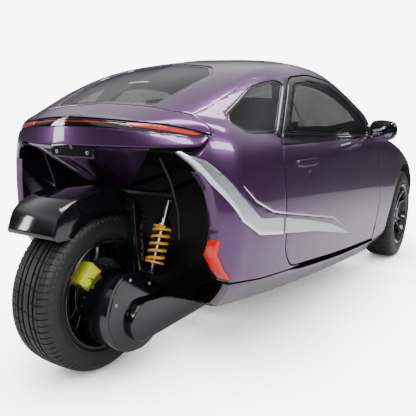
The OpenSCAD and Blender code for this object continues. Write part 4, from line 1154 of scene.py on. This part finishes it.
class CAR_OT_wheels(CarOperator):
    """Tyres with tread, rims, hubs and discs"""
    bl_idname = "car.wheels"
    bl_label = "Wheels"

    def execute(self, context):
        settings = context.scene.car_wheels
        front, rear = (FRONT_X, FRONT_Y, TYRE_R), (0, REAR_Y, TYRE_R)
        for where, name in ((front, "front"), (rear, "rear")):
            tyre = self.tyre(where, settings, f"tyre_{name}_tread")
            rim, disc = self.rim(where, settings, -0.020 if name == "front" else -0.062)
            rim.name, disc.name = f"alloy_{name}", f"disc_{name}"
            if name == "rear":
                piece(tyre, "wheel_rear", "tyre", finish_named("rubber"), "tyre_rear")
                piece(rim, "wheel_rear", "alloy", finish_named("alloy"), "rim_rear")
                piece(disc, "wheel_rear", "steel", finish_named("disc"))
                continue
            two_sides(tyre, "tyre_front", "tyre_front_{}", "wheel_front_{}", "tyre", finish_named("rubber"))
            two_sides(rim, "alloy_front", "rim_front_{}", "wheel_front_{}", "alloy", finish_named("alloy"))
            two_sides(disc, "disc_front", "", "wheel_front_{}", "steel", finish_named("disc"))
        return {"FINISHED"}

    def tyre(self, where, settings, name):
        """A grid round the wheel whose ribs, grooves and slanted sipes are pressed in."""
        edges = [0.0, 0.012, 0.0125, 0.0215, 0.022, 0.036, 0.0365, 0.0455, 0.046, 0.058, 0.0583, 0.0605,
                 0.0608, 0.070, 0.078, 0.084]
        low = [(0.0125, 0.0215), (0.0365, 0.0455)]
        crown = []
        for x in edges:
            r = TYRE_R - 0.0055 * (x / 0.085) ** 3
            cut_in = settings.groove if any(a <= x <= b for a, b in low) else 0.0
            if 0.0583 <= x <= SHOULDER_X:
                cut_in = settings.groove * 0.7
            crown.append((x, r - cut_in, self.rib_at(x)))
        side = [(0.0905, 0.3235, 3), (0.0965, 0.3185, 3), (0.1010, 0.3110, 3), (0.1037, 0.3030, 3),
                (0.1050, 0.2990, -1), (0.1043, 0.2985, -1), (0.1066, 0.2870, -1), (0.1073, 0.2750, -1),
                (0.1066, 0.2640, -1), (0.1060, 0.2635, -1), (0.1046, 0.2540, -1), (0.1040, 0.2500, -1),
                (0.1054, 0.2490, -1), (0.1050, 0.2450, -1), (0.1010, 0.2400, -1), (0.0973, 0.2370, -1),
                (0.0973, 0.2190, -1), (0.0715, 0.2185, -1), (0.0800, 0.2370, -1), (0.0955, 0.2750, -1),
                (0.0915, 0.3000, -1), (0.0650, 0.3180, -1)]
        rows = crown + side
        rows = rows + [(-x, r, k) for x, r, k in rows[::-1] if x > 0]
        pitches = settings.steps // 4
        spots = [0.0, 0.04, 0.16, 0.20]
        sunk = [0.0, 1.0, 1.0, 0.0]
        points, n = [], len(rows)
        for i in range(pitches * 4):
            for x, r, rib in rows:
                turn = (i // 4 + spots[i % 4]) / pitches * 2 * math.pi
                slant = 0.9 if x > 0 else -0.9
                turn += 0.55 * max(abs(x) - SHOULDER_X, 0) + slant * min(abs(x), SHOULDER_X)
                every = rib == 3 or (rib in (1, 2) and (i // 4) % 2 == 0) or (rib == 0 and (i // 4) % 4 == 0)
                depth = SIPE * sunk[i % 4] if every else 0.0
                if rib == 3 and abs(x) > 0.1:
                    depth *= 0.4
                rr = min(r, TYRE_R - 0.0003) - depth
                points.append((where[0] + x, where[1] + rr * math.cos(turn),
                               where[2] + rr * math.sin(turn)))
        steps = pitches * 4
        faces = [[i * n + j, i * n + (j + 1) % n, ((i + 1) % steps) * n + (j + 1) % n,
                  ((i + 1) % steps) * n + j] for i in range(steps) for j in range(n)]
        obj = new_mesh(name, points, faces)
        outward(obj)
        smooth(obj, 28)
        return obj

    def rib_at(self, x):
        """Which rib of the tread is at x: the middle one, its two neighbours, the shoulder or a groove."""
        ribs = ((0.0, 0.012), (0.022, 0.036), (0.046, 0.058))
        for k, (a, b) in enumerate(ribs):
            if a <= x <= b:
                return k
        return 3 if x > SHOULDER_X else -1

    def rim(self, where, settings, disc_x):
        """Barrel, tapered twin spokes, hub and nuts as one casting, and the brake disc."""
        barrel = [(0.0, 0.196), (0.042, 0.196), (0.0575, 0.2178), (0.0973, 0.2178), (0.0973, 0.2306),
                  (0.1020, 0.2312), (0.1036, 0.2290), (0.1036, 0.2250), (0.0990, 0.2190),
                  (0.0975, 0.2110), (0.0605, 0.2110), (0.0445, 0.1895), (0.0, 0.1890)]
        barrel = barrel + [(-x, r) for x, r in barrel[::-1] if x > 0]
        body = revolve(barrel, 144, where, "barrel")
        hub_profile = [(disc_x - 0.016, 0.018), (disc_x - 0.016, 0.041), (0.050, 0.042), (0.056, 0.070),
                       (0.070, 0.070), (0.0735, 0.066), (0.0735, 0.035), (0.0700, 0.031), (0.0700, 0.018)]
        hub = revolve(hub_profile, 96, where, "hub")
        cut(body, hub, "UNION")
        remove(hub)
        cx, cy, cz = where
        for k in range(settings.spokes):
            for s in (-1, 1):
                rings = []
                for t in np.linspace(0, 1, 9):
                    r = SPOKE_FOOT + (SPOKE_TIP - SPOKE_FOOT) * t
                    swing = math.radians(k * 360 / settings.spokes + s * (5 + 10 * t))
                    wide = 0.0135 - 0.005 * math.sin(math.pi * t * 0.9) + 0.004 * t ** 3
                    face = 0.072 - 0.012 * math.sin(math.pi * t) + 0.022 * t ** 2
                    back = face - 0.022
                    out = Vector((0, math.cos(swing), math.sin(swing)))
                    across = Vector((0, -math.sin(swing), math.cos(swing)))
                    ring = []
                    for u, x in ((-1, back), (-1, face - 0.007), (-0.72, face), (0.72, face),
                                 (1, face - 0.007), (1, back)):
                        ring.append(Vector((cx + x, cy, cz)) + out * r + across * wide * u)
                    rings.append(ring)
                spoke = loft(rings, "spoke")
                cut(body, spoke, "UNION")
                remove(spoke)
        softened(body, 0.0014, 30)
        parts = [body]
        for k in range(NUTS):
            a = math.radians(36 + k * 360 / NUTS)
            spot = Vector((cx + 0.0725, cy + NUT_CIRCLE * math.cos(a), cz + NUT_CIRCLE * math.sin(a)))
            parts.append(bolt(spot, (1, 0, 0), 0.0085, 0.010))
        cap = revolve([(0.066, 0.0005), (0.066, 0.0295), (0.0745, 0.0295), (0.0775, 0.026),
                       (0.0790, 0.0005)], 64, where, "cap")
        smooth(cap)
        parts.append(cap)
        parts.append(rod((cx + 0.090, cy, cz + 0.205), (cx + 0.108, cy + 0.004, cz + 0.190), 0.0035))
        casting = join("casting", parts)
        disc = revolve([(disc_x, 0.043), (disc_x, 0.139), (disc_x + 0.0035, 0.140),
                        (disc_x + 0.0035, 0.128), (disc_x + 0.0065, 0.128), (disc_x + 0.0065, 0.140),
                        (disc_x + 0.010, 0.139), (disc_x + 0.010, 0.080), (disc_x + 0.014, 0.078),
                        (disc_x + 0.014, 0.043)], 120, where, "disc")
        for k in range(DISC_HOLES):
            a = 2 * math.pi * k / DISC_HOLES
            r = 0.098 + 0.010 * (k % 3)
            hole = rod((cx + disc_x - 0.01, cy + r * math.cos(a), cz + r * math.sin(a)),
                       (cx + disc_x + 0.02, cy + r * math.cos(a), cz + r * math.sin(a)), 0.0045, sides=12)
            cut(disc, hole)
            remove(hole)
        smooth(disc, 30)
        return casting, disc


class CAR_OT_suspension(CarOperator):
    """Dampers with coil springs, arm covers, mudguard, caliper and the steel parts"""
    bl_idname = "car.suspension"
    bl_label = "Suspension"

    def execute(self, context):
        coils, bodies, shafts = [], [], []
        for s in (-1, 1):
            low = Vector((s * 0.176, car_y(-190), 0.3766))
            top = Vector((s * 0.176, car_y(-322), 0.690))
            self.damper(low, top, 0.15, 0.62, 6.4, coils, bodies, shafts)
            low = Vector((s * (FRONT_X - 0.136), FRONT_Y, TYRE_R - 0.138))
            top = Vector((s * 0.33, FRONT_Y, TYRE_R + 0.40))
            self.damper(low, top, 0.62, 0.94, 5.2, coils, bodies, shafts)
        piece(join("coil_springs", coils), "body", "spring", finish_named("spring"), "dampers")
        piece(join("damper_bodies", bodies), "body", "black_gloss", finish_named("gloss"))
        piece(join("damper_shafts", shafts), "body", "steel", finish_named("zinc"))
        self.covers()
        self.guard()
        caliper = refined("rear_caliper", 0.004, "lime_caliper")
        extra = []
        for u in (-0.026, 0.026):
            a = math.radians(45)
            out = Vector((0, -math.sin(a), math.cos(a)))
            along = Vector((0, math.cos(a), math.sin(a)))
            spot = Vector((-0.092, REAR_Y, TYRE_R)) + out * 0.118 + along * u
            extra.append(rod(spot, spot - Vector((0.010, 0, 0)), 0.019))
            extra.append(bolt(spot - Vector((0.010, 0, 0)), (-1, 0, 0), 0.006, 0.004))
        caliper = join("lime_caliper", [caliper, *extra])
        axle = Matrix.Translation((0, REAR_Y, 0))
        caliper.data.transform(axle @ Matrix.Scale(-1, 4, (0, 1, 0)) @ axle.inverted())
        caliper.data.flip_normals()
        piece(caliper, "body", "caliper", finish_named("lime"), "rear_caliper")
        for node, width in (("swing_arm", 0.006), ("subframes", 0.002), ("wishbones", 0.0015),
                            ("battery_pack", 0.004)):
            part = refined(node, width, f"{node}_edged")
            piece(part, "body", "battery" if node == "battery_pack" else "steel",
                  finish_named("box" if node == "battery_pack" else "steel"), node)
        return {"FINISHED"}

    def damper(self, low, top, start, end, turns, coils, bodies, shafts):
        run = top - low
        along = run.normalized()
        side = Vector((1, 0, 0)) - along * along.x
        side.normalize()
        other = along.cross(side)
        a, b = low + run * start, low + run * end
        path = []
        for t in np.linspace(0, 1, int(turns * 24)):
            lift = min(max((t * turns - 0.7) / (turns - 1.4), 0), 1)
            angle = 2 * math.pi * turns * t
            path.append(a + (b - a) * lift + (side * math.cos(angle) + other * math.sin(angle)) * COIL_R)
        coil = tube(path, WIRE_R, "coil")
        smooth(coil, 60)
        coils.append(coil)
        seat_low = rod(a - along * 0.008, a - along * 0.002, SEAT_R)
        seat_top = rod(b + along * 0.004, b + along * 0.014, SEAT_R)
        tube_body = rod(a - along * 0.03, b, DAMPER_R)
        bottle = rod(b + along * 0.014, b + along * 0.040, 0.030)
        shafts.append(rod(a, b, 0.010))
        bodies += [seat_low, seat_top, tube_body, bottle, rod(low, a, 0.0155), rod(b, top, 0.0155)]
        bodies.append(rod(low - side * 0.02, low + side * 0.02, 0.018))
        bodies.append(rod(top - side * 0.02, top + side * 0.02, 0.0158))
        for item in bodies[-8:]:
            smooth(item, 35)

    def covers(self):
        outline = soft([(-10, 450), (-215, 322), (-225, 180), (-70, 100), (60, 120), (140, 190),
                        (165, 290), (120, 400), (70, 442)], 55, 8)
        shell_x, out_x, leg_t = TYRE_W / 2 + 0.012, 0.235, 0.034
        cover = side_prism(outline, shell_x, out_x)
        hollow = side_prism(grown(outline, -5), shell_x - 0.1, out_x - 0.005)
        arm = box_cutter((0.1527, REAR_Y - 0.4, TYRE_R - 0.17), (0.1993, REAR_Y - 0.1, TYRE_R + 0.06))
        cut(cover, hollow)
        cut(cover, arm)
        remove(hollow, arm)
        apply(cover, "BEVEL", width=0.0035, segments=3, limit_method="ANGLE", angle_limit=math.radians(40),
              use_clamp_overlap=True)
        smooth(cover, 30)
        panel = side_prism(grown(outline, -14), out_x - 0.001, out_x + 0.0035)
        apply(panel, "BEVEL", width=0.0028, segments=3, limit_method="ANGLE", angle_limit=math.radians(40))
        smooth(panel, 30)
        rim_in = []
        for centre, radius, span in (((-40, 235), 88, (-90, 95)), ((-585, 205), 52, (95, 270))):
            for a in np.linspace(math.radians(span[0]), math.radians(span[1]), 26):
                rim_in.append((centre[0] + radius * math.cos(a), centre[1] + radius * math.sin(a)))
        leg = side_prism(rim_in, out_x, out_x + leg_t)
        apply(leg, "BEVEL", width=0.010, segments=4, limit_method="ANGLE", angle_limit=math.radians(40),
              use_clamp_overlap=True)
        smooth(leg, 35)
        left = join("cover", [cover, panel, leg])
        both = join("arm_cover_shells", [left, mirrored(left, "cover_right")])
        piece(both, "body", "black_gloss", finish_named("gloss"), "arm_covers")
        bolts = []
        for y, z in ((104, 338), (-98, 372), (20, 418)):
            bolts.append(bolt((out_x + 0.0033, car_y(y), z * MM), (1, 0, 0), 0.005, 0.004))
        left = join("bolts", bolts)
        both = join("cover_bolts", [left, mirrored(left, "bolts_right")])
        piece(both, "body", "steel", finish_named("zinc"))

    def guard(self):
        half, sheet = 0.131, 0.005
        outline = soft([(305, 612), (268, 712), (200, 748), (70, 776), (-60, 768), (-150, 722),
                        (-228, 606)], 34, 6)
        rings = []
        for x, drop in ((-half, 14), (-half + 0.004, 5), (-half + 0.012, 0), (0, -1), (half - 0.012, 0),
                        (half - 0.004, 5), (half, 14)):
            rings.append([(x, car_y(y * (1 - drop / 900)), (z - drop * (1 if z > 640 else 0.2)) * MM)
                          for y, z in outline])
        guard = loft(rings, "guard")
        inner = side_prism(grown(outline + [(-228, 300), (305, 300)], -sheet / MM), -half + sheet,
                           half - sheet)
        room = cylinder_along_x(160, TYRE_R + 0.014, 1, (0, REAR_Y, TYRE_R))
        cut(guard, inner)
        cut(guard, room)
        remove(inner, room)
        softened(guard, 0.002, 35)
        stays = []
        for x0, x1 in ((0.126, 0.1527), (-0.1527, -0.126)):
            stay = side_prism([(-150, 700), (-178, 346.3), (-138, 371.3), (-105, 720)], x0, x1)
            stays.append(softened(stay, 0.003))
        piece(join("mudguard_shell", [guard, *stays]), "body", "black_gloss", finish_named("gloss"),
              "mudguard")


class CAR_OT_fittings(CarOperator):
    """Mirrors, apron, plate holder and cables in the rear wheel well"""
    bl_idname = "car.fittings"
    bl_label = "Fittings"

    def execute(self, context):
        self.mirrors()
        rows, columns, wall = 10, 56, 0.008
        grid = []
        for j in range(rows + 1):
            v = j / rows
            for i in range(columns + 1):
                u = i / columns * 2 - 1
                top = Vector((0.34 * u, car_y(-200 + 285 * math.sqrt(1 - (340 * u / 575) ** 2)) - 0.016,
                              0.9395))
                foot = Vector((0.125 * u, car_y(-130), 0.775))
                p = top.lerp(foot, v)
                fold = max(0, 1 - abs(abs(u) - 0.42) / 0.05) + max(0, 1 - abs(abs(u) - 0.80) / 0.05)
                hollow = 0.010 * math.sin(math.pi * v) * (abs(u) < 0.42)
                p.y += 0.007 * fold * math.sin(math.pi * min(v * 1.2, 1)) - hollow
                grid.append(p)
        n = columns + 1
        faces = [[j * n + i, j * n + i + 1, (j + 1) * n + i + 1, (j + 1) * n + i] for j in range(rows)
                 for i in range(columns)]
        apron = new_mesh("apron", grid, faces)
        apply(apron, "SOLIDIFY", thickness=wall, offset=0)
        outward(apron)
        softened(apron, 0.0015)
        piece(apron, "body", "paint", finish_named("paint"), "rear_apron")
        holder = refined("plate_bracket", 0.0012, "plate_holder")
        low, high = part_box("plate_bracket")
        frame_in = box_cutter((low[0] + 0.012, high[1] - 0.0015, low[2] + 0.008),
                              (high[0] - 0.012, high[1] + 0.01, high[2] - 0.008))
        cut(holder, frame_in)
        remove(frame_in)
        lens = rod((0, high[1] - 0.012, high[2] - 0.004), (0, high[1] + 0.004, high[2] - 0.010), 0.009)
        piece(join("plate_holder", [holder, lens]), "body", "black_gloss", finish_named("gloss"),
              "plate_bracket")
        eyes = []
        for s in (-1, 1):
            spot = (s * 0.085, high[1], (low[2] + high[2]) / 2 - 0.0038)
            eyes.append(revolve([(0, 0.0037), (0, 0.0075), (0.001, 0.0075), (0.001, 0.0037)], 32,
                                (0, 0, 0), "eye"))
            eyes[-1].data.transform(Matrix.Translation(spot) @ Matrix.Rotation(math.pi / 2, 4, "Z"))
        piece(join("plate_eyelets", eyes), "body", "steel", finish_named("zinc"))
        ribs = []
        for s in (-1, 1):
            path = [(s * 0.33, car_y(-60), 0.90), (s * 0.345, car_y(-110), 0.80),
                    (s * 0.35, car_y(-150), 0.68), (s * 0.34, car_y(-170), 0.56)]
            ribs.append(tube(path, 0.005, "rib", 10))
        piece(join("well_cables", ribs), "body", "black_matte", finish_named("plastic"))
        return {"FINISHED"}

    def mirrors(self):
        centre = Vector((0.773, car_y(-1655), 0.985))
        deselect()
        bpy.ops.mesh.primitive_uv_sphere_add(segments=64, ring_count=40, radius=1.0,
                                             rotation=(0, math.pi / 2, 0))
        pod = bpy.context.object
        place(pod)
        for v in pod.data.vertices:
            d = v.co
            f = 1 / (abs(d.x) ** 2.8 + abs(d.y) ** 2.3 + abs(d.z) ** 2.8) ** (1 / 2.6)
            q = d * f
            v.co = centre + Vector((q.x * 0.080, q.y * 0.040 - (q.x + 0.4) * 0.0048,
                                    q.z * 0.066 * (0.94 - 0.06 * q.x)))
        face = box_cutter((0.6, centre.y + 0.018, 0.8), (1.0, centre.y + 0.1, 1.2))
        cut(pod, face)
        remove(face)
        lower = duplicate(pod, "lower")
        split = box_cutter((0.6, centre.y - 0.1, centre.z - 0.030), (1.0, centre.y + 0.1, 1.2))
        keep = box_cutter((0.6, centre.y - 0.1, 0.9), (1.0, centre.y + 0.1, centre.z - 0.0315))
        cut(lower, keep, "INTERSECT")
        cut(pod, split, "INTERSECT")
        remove(split, keep)
        outline = soft([(-72, -46), (-72, 54), (64, 57), (73, 6), (61, -46)], 20)
        bed = loft([[(centre.x + x * MM * 0.92, y, centre.z + z * MM * 0.92) for x, z in outline]
                    for y in (centre.y + 0.012, centre.y + 0.03)], "bed")
        for item in (pod, lower):
            cut(item, bed)
        remove(bed)
        arm = loft([[(0.665, car_y(-1690), 0.930), (0.665, car_y(-1630), 0.930),
                     (0.665, car_y(-1635), 0.952), (0.665, car_y(-1685), 0.952)],
                    [(0.705, car_y(-1678), 0.934), (0.705, car_y(-1640), 0.934),
                     (0.705, car_y(-1643), 0.954), (0.705, car_y(-1675), 0.954)],
                    [(0.745, car_y(-1674), 0.950), (0.745, car_y(-1644), 0.950),
                     (0.745, car_y(-1646), 0.968), (0.745, car_y(-1672), 0.968)]], "arm")
        inside = form(0.0003)
        cut(arm, inside)
        remove(inside)
        softened(arm, 0.003)
        softened(pod, 0.002)
        softened(lower, 0.002)
        black = join("mirror_shell", [pod, arm])
        two_sides(black, "mirror_shell", "mirror_{}", "door_{}", "black_gloss", finish_named("gloss"))
        two_sides(lower, "mirror_cap", "", "door_{}", "paint", finish_named("paint"))
        outline = soft([(-70, -43), (-70, 50), (62, 53), (70, 6), (58, -43)], 20)
        glass = loft([[(centre.x + x * MM * 0.9, y, centre.z + z * MM * 0.9) for x, z in outline]
                      for y in (centre.y + 0.0122, centre.y + 0.0165)], "mirror_glass")
        two_sides(softened(glass, GLASS_EDGE), "mirror_glass", "", "door_{}", "glass", finish_named("mirror"))


class CAR_OT_cabin(CarOperator):
    """Seats, dashboard, steering wheel and carpet"""
    bl_idname = "car.cabin"
    bl_label = "Cabin"

    def execute(self, context):
        seat_x, width = 0.285, 0.44
        pads = []
        for s, side in ((-1, "right"), (1, "left")):
            pads.append(self.pad(f"seat_cushion_{side}", width, 0.43, 0.13,
                                 Matrix.Translation((s * seat_x, car_y(-1235), 0.405))))
            tilt = Matrix.Rotation(math.radians(75), 4, "X")
            pads.append(self.pad(f"seat_back_{side}", width - 0.02, 0.62, 0.105,
                                 Matrix.Translation((s * seat_x, car_y(-972), 0.715)) @ tilt))
            upright = Matrix.Rotation(math.radians(86), 4, "X")
            pads.append(self.pad(f"head_rest_{side}", 0.255, 0.17, 0.085,
                                 Matrix.Translation((s * seat_x, car_y(-890), 1.072)) @ upright))
        for pad in pads:
            piece(pad, "body", "seat_leather", finish_named("leather"))
        posts = []
        for s in (-1, 1):
            for t in (-1, 1):
                x = s * seat_x + t * 0.05
                posts.append(rod((x, car_y(-895), 0.98), (x, car_y(-890), 1.03), 0.006))
            posts.append(box_cutter((s * seat_x - 0.19, car_y(-1430), 0.335),
                                    (s * seat_x + 0.19, car_y(-1010), 0.350)))
        piece(join("seat_frames", posts), "body", "steel", finish_named("steel"))
        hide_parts("seats")
        dash = refined("dashboard", 0.010, "dash_top")
        piece(dash, "body", "black_matte", finish_named("plastic"), "dashboard")
        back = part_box("dashboard")[1][1]
        screen = box_cutter((-0.15, back - 0.10, 0.905), (0.13, back - 0.088, 1.03))
        binnacle = box_cutter((0.19, back - 0.09, 0.90), (0.41, back - 0.078, 0.99))
        piece(join("dash_screens", [softened(screen, 0.003), softened(binnacle, 0.003)]), "body",
              "black_gloss", finish_named("smoke"))
        self.steering()
        self.floor()
        return {"FINISHED"}

    def pad(self, name, width, length, thick, place_in):
        """A crowned cushion with raised bolsters, sewn channels and a piped edge."""
        columns, rows = 48, 48
        points, faces = [], []
        for side in (1, -1):
            for j in range(rows + 1):
                v = j / rows * 2 - 1
                for i in range(columns + 1):
                    u = i / columns * 2 - 1
                    x = math.copysign(abs(u) ** 0.85, u)
                    y = math.copysign(abs(v) ** 0.85, v)
                    corner = 1 - 0.06 * (x * y) ** 2
                    edge = max(1 - abs(x) ** 5, 0) ** 0.4 * max(1 - abs(y) ** 5, 0) ** 0.4
                    h = edge * (0.5 + 0.06 * (1 - x * x) * (1 - y * y))
                    if side > 0:
                        bolster = math.exp(-((abs(x) - 0.80) / 0.16) ** 2) * (1 - y ** 6)
                        seam = math.exp(-((abs(x) - 0.56) / 0.022) ** 2)
                        rib = 0.5 + 0.5 * math.cos(y * math.pi * 7)
                        channel = (1 - rib) ** 6 * (abs(x) < 0.56) * (abs(y) < 0.88)
                        h += edge * (0.20 * bolster - 0.06 * seam - 0.05 * channel)
                    points.append(place_in @ Vector((x * width / 2 * corner, y * length / 2 * corner,
                                                     side * h * thick)))
        n = columns + 1
        base = n * (rows + 1)
        for j in range(rows):
            for i in range(columns):
                a, b, c, d = j * n + i, j * n + i + 1, (j + 1) * n + i + 1, (j + 1) * n + i
                faces.append([a, b, c, d])
                faces.append([base + d, base + c, base + b, base + a])
        obj = new_mesh(name, points, faces)
        outward(obj)
        apply(obj, "SUBSURF", levels=1, render_levels=1)
        smooth(obj, 60)
        return obj

    def steering(self):
        centre = Vector((0.3, car_y(-1560), 0.8))
        turn = Matrix.Translation(centre) @ Matrix.Rotation(math.radians(72), 4, "X")
        deselect()
        bpy.ops.mesh.primitive_torus_add(major_segments=96, minor_segments=20, major_radius=0.18,
                                         minor_radius=0.0145)
        ring = bpy.context.object
        ring.data.transform(Matrix.Diagonal((1, 0.97, 1, 1)))
        smooth(ring, 60)
        parts = [ring]
        hub = loft([[(r * math.cos(a), r * 0.85 * math.sin(a), z)
                     for a in np.linspace(0, 2 * math.pi, 40, endpoint=False)] for r,
                    z in ((0.045, -0.016), (0.052, -0.008), (0.052, 0.008), (0.044, 0.017),
                          (0.02, 0.020))], "hub")
        smooth(hub, 40)
        parts.append(hub)
        for angle in (0, 180, 270):
            spoke = loft([[(r, -w, -0.006), (r, w, -0.006), (r, w * 0.8, 0.007), (r, -w * 0.8, 0.007)]
                          for r, w in ((0.03, 0.022), (0.08, 0.016), (0.13, 0.012), (0.172, 0.014))],
                         "spoke")
            spoke.data.transform(Matrix.Rotation(math.radians(angle), 4, "Z"))
            parts.append(softened(spoke, 0.002))
        parts.append(rod((0, 0, -0.01), (0, 0, -0.22), 0.024))
        wheel = join("steering_wheel_rim", parts)
        wheel.data.transform(turn)
        piece(wheel, "body", "black_matte", finish_named("leather"), "steering_wheel")

    def floor(self):
        area = [(0, -2090), (290, -2090), (560, -1930), (540, -1420), (470, -1010), (395, -725), (0, -725)]
        carpet = from_top(area, 0, 30, 0.2145, 0.2225)
        hole = box_cutter((-0.356, car_y(-1466), 0.2), (0.356, car_y(-954), 0.3))
        cut(carpet, hole)
        remove(hole)
        piece(softened(carpet, 0.002), "body", "black_matte", finish_named("carpet"))


class CAR_OT_frame(CarOperator):
    """Finishes of the nodes that keep their CAD shape"""
    bl_idname = "car.frame"
    bl_label = "Frame Finishes"

    def execute(self, context):
        kinds = {"floor_pan": "plastic", "wheel_housing": "plastic", "hinge_posts": "steel",
                 "knuckle_left": "steel", "knuckle_right": "steel"}
        for node, obj in NODES.items():
            paint_with(obj, finish_named(kinds.get(node, "steel")))
        return {"FINISHED"}


# ---- operators: stage ---------------------------------------------------------------------


class CAR_OT_stage(CarOperator):
    """Pale floor, soft studio light and the camera"""
    bl_idname = "car.stage"
    bl_label = "Stage"

    def execute(self, context):
        deselect()
        bpy.ops.mesh.primitive_circle_add(vertices=128, radius=6.5, fill_type="NGON", location=(0, 0, 0))
        floor = context.object
        floor.name = "floor"
        paint_with(floor, self.floor_finish())
        self.world(context)
        self.lamp("overhead", (-0.6, 0.6, 4.4), (-0.2, 0.2, 0.6), 5.0, 1.3, 260)
        self.lamp("right_high", (-5.2, 1.2, 3.6), (0, 0.2, 0.8), 4.5, 1.0, 210)
        self.lamp("behind_camera", (-2.2, 6.0, 3.2), (0, 1.0, 0.6), 3.2, 0.9, 170)
        self.lamp("left_low", (4.5, 4.5, 1.6), (0, 1.2, 0.4), 0.8, 1.8, 60)
        self.camera(context)
        return {"FINISHED"}

    def floor_finish(self):
        """Bright matt floor for the lamps; to the camera it glows, with a painted shadow from ambient
        occlusion gathering softly under the car.
        """
        material, tree = new_material("matt_studio_floor")
        # Painted shadow: the camera sees a glow dimmed where ambient occlusion finds the car close above.
        shade = add(tree, "ShaderNodeAmbientOcclusion", {"Distance": 0.55}, samples=8)
        painted_shadow = add(tree, "ShaderNodeMath", {1: 1.6}, {0: shade.outputs["AO"]}, operation="POWER")
        power = add(tree, "ShaderNodeMath", {1: 8.0}, {0: painted_shadow.outputs[0]}, operation="MULTIPLY")
        glow = add(tree, "ShaderNodeEmission", {"Color": (1, 1, 1, 1)}, {"Strength": power.outputs[0]})
        matt = add(tree, "ShaderNodeBsdfDiffuse", {"Color": (0.62, 0.62, 0.63, 1)})
        path = add(tree, "ShaderNodeLightPath")
        mix = add(tree, "ShaderNodeMixShader", links={0: path.outputs["Is Camera Ray"], 1: matt.outputs[0],
                                                      2: glow.outputs[0]})
        add(tree, "ShaderNodeOutputMaterial", links={"Surface": mix.outputs[0]})
        return material

    def world(self, context):
        """Bright above, dark round the horizon, plain white to the camera."""
        world = bpy.data.worlds.new("studio")
        context.scene.world = world
        world.use_nodes = True
        tree = world.node_tree
        tree.nodes.clear()
        where = add(tree, "ShaderNodeTexCoord")
        parts = add(tree, "ShaderNodeSeparateXYZ", links={"Vector": where.outputs["Generated"]})
        ramp = add(tree, "ShaderNodeValToRGB", links={"Fac": parts.outputs["Z"]})
        stops = ((0.0, 0.10), (0.10, 0.03), (0.28, 0.16), (0.5, 1.1), (1.0, 0.55))
        for _ in stops[2:]:
            ramp.color_ramp.elements.new(0.5)
        for element, (spot, value) in zip(ramp.color_ramp.elements, stops):
            element.position = spot
            element.color = (value, value, value * 1.02, 1)
        glow = add(tree, "ShaderNodeBackground", {"Strength": 0.9}, {"Color": ramp.outputs["Color"]})
        plain = add(tree, "ShaderNodeBackground", {"Color": (1, 1, 1, 1), "Strength": 8.0})
        path = add(tree, "ShaderNodeLightPath")
        mix = add(tree, "ShaderNodeMixShader", links={0: path.outputs["Is Camera Ray"], 1: glow.outputs[0],
                                                      2: plain.outputs[0]})
        add(tree, "ShaderNodeOutputWorld", links={"Surface": mix.outputs[0]})

    def lamp(self, name, spot, target, width, height, power):
        data = bpy.data.lights.new(name, "AREA")
        data.shape = "RECTANGLE"
        data.size, data.size_y, data.energy = width, height, power
        obj = bpy.data.objects.new(name, data)
        obj.location = spot
        obj.rotation_euler = (Vector(target) - Vector(spot)).to_track_quat("-Z", "Y").to_euler()
        bpy.context.collection.objects.link(obj)

    def camera(self, context):
        yaw, pitch, roll = (math.radians(a) for a in (31.96, 10.33, 0.49))
        look = Vector((math.sin(yaw) * math.cos(pitch), -math.cos(yaw) * math.cos(pitch), -math.sin(pitch)))
        right = Vector((-math.cos(yaw), -math.sin(yaw), 0))
        up = right.cross(look)
        c, s = math.cos(roll), math.sin(roll)
        right, up = right * c + up * s, up * c - right * s
        data = bpy.data.cameras.new("camera")
        data.lens, data.shift_x, data.shift_y = 43.17, -0.012, 0.001
        obj = bpy.data.objects.new("camera", data)
        turn = Matrix((right, up, -look)).transposed().to_4x4()
        obj.matrix_world = Matrix.Translation((-1.513, REAR_Y + 1.45, 1.053)) @ turn
        context.collection.objects.link(obj)
        context.scene.camera = obj


OPERATORS = [CAR_OT_frame, CAR_OT_front, CAR_OT_sides, CAR_OT_tail, CAR_OT_glass, CAR_OT_inlays,
             CAR_OT_wheels, CAR_OT_suspension, CAR_OT_fittings, CAR_OT_cabin, CAR_OT_stage]


class CAR_PT_panel(bpy.types.Panel):
    bl_idname = "CAR_PT_panel"
    bl_label = "Three Wheeled Car"
    bl_space_type = "VIEW_3D"
    bl_region_type = "UI"
    bl_category = "Three Wheeled Car"

    def draw(self, context):
        for group in (context.scene.car_body, context.scene.car_wheels):
            for name in group.bl_rna.properties.keys():
                if name not in ("rna_type", "name"):
                    self.layout.prop(group, name)
        for operator in OPERATORS:
            self.layout.operator(operator.bl_idname)


CLASSES = [CarBody, CarWheels, *OPERATORS, CAR_PT_panel]


def register():
    for cls in CLASSES:
        bpy.utils.register_class(cls)
    bpy.types.Scene.car_body = bpy.props.PointerProperty(type=CarBody)
    bpy.types.Scene.car_wheels = bpy.props.PointerProperty(type=CarWheels)


def unregister():
    del bpy.types.Scene.car_body
    del bpy.types.Scene.car_wheels
    for cls in reversed(CLASSES):
        bpy.utils.unregister_class(cls)


def main():
    register()
    for operator in OPERATORS:
        group, name = operator.bl_idname.split(".")
        getattr(getattr(bpy.ops, group), name)()
    for mesh in FORMS.values():
        bpy.data.meshes.remove(mesh)


if __name__ == "__main__":
    main()
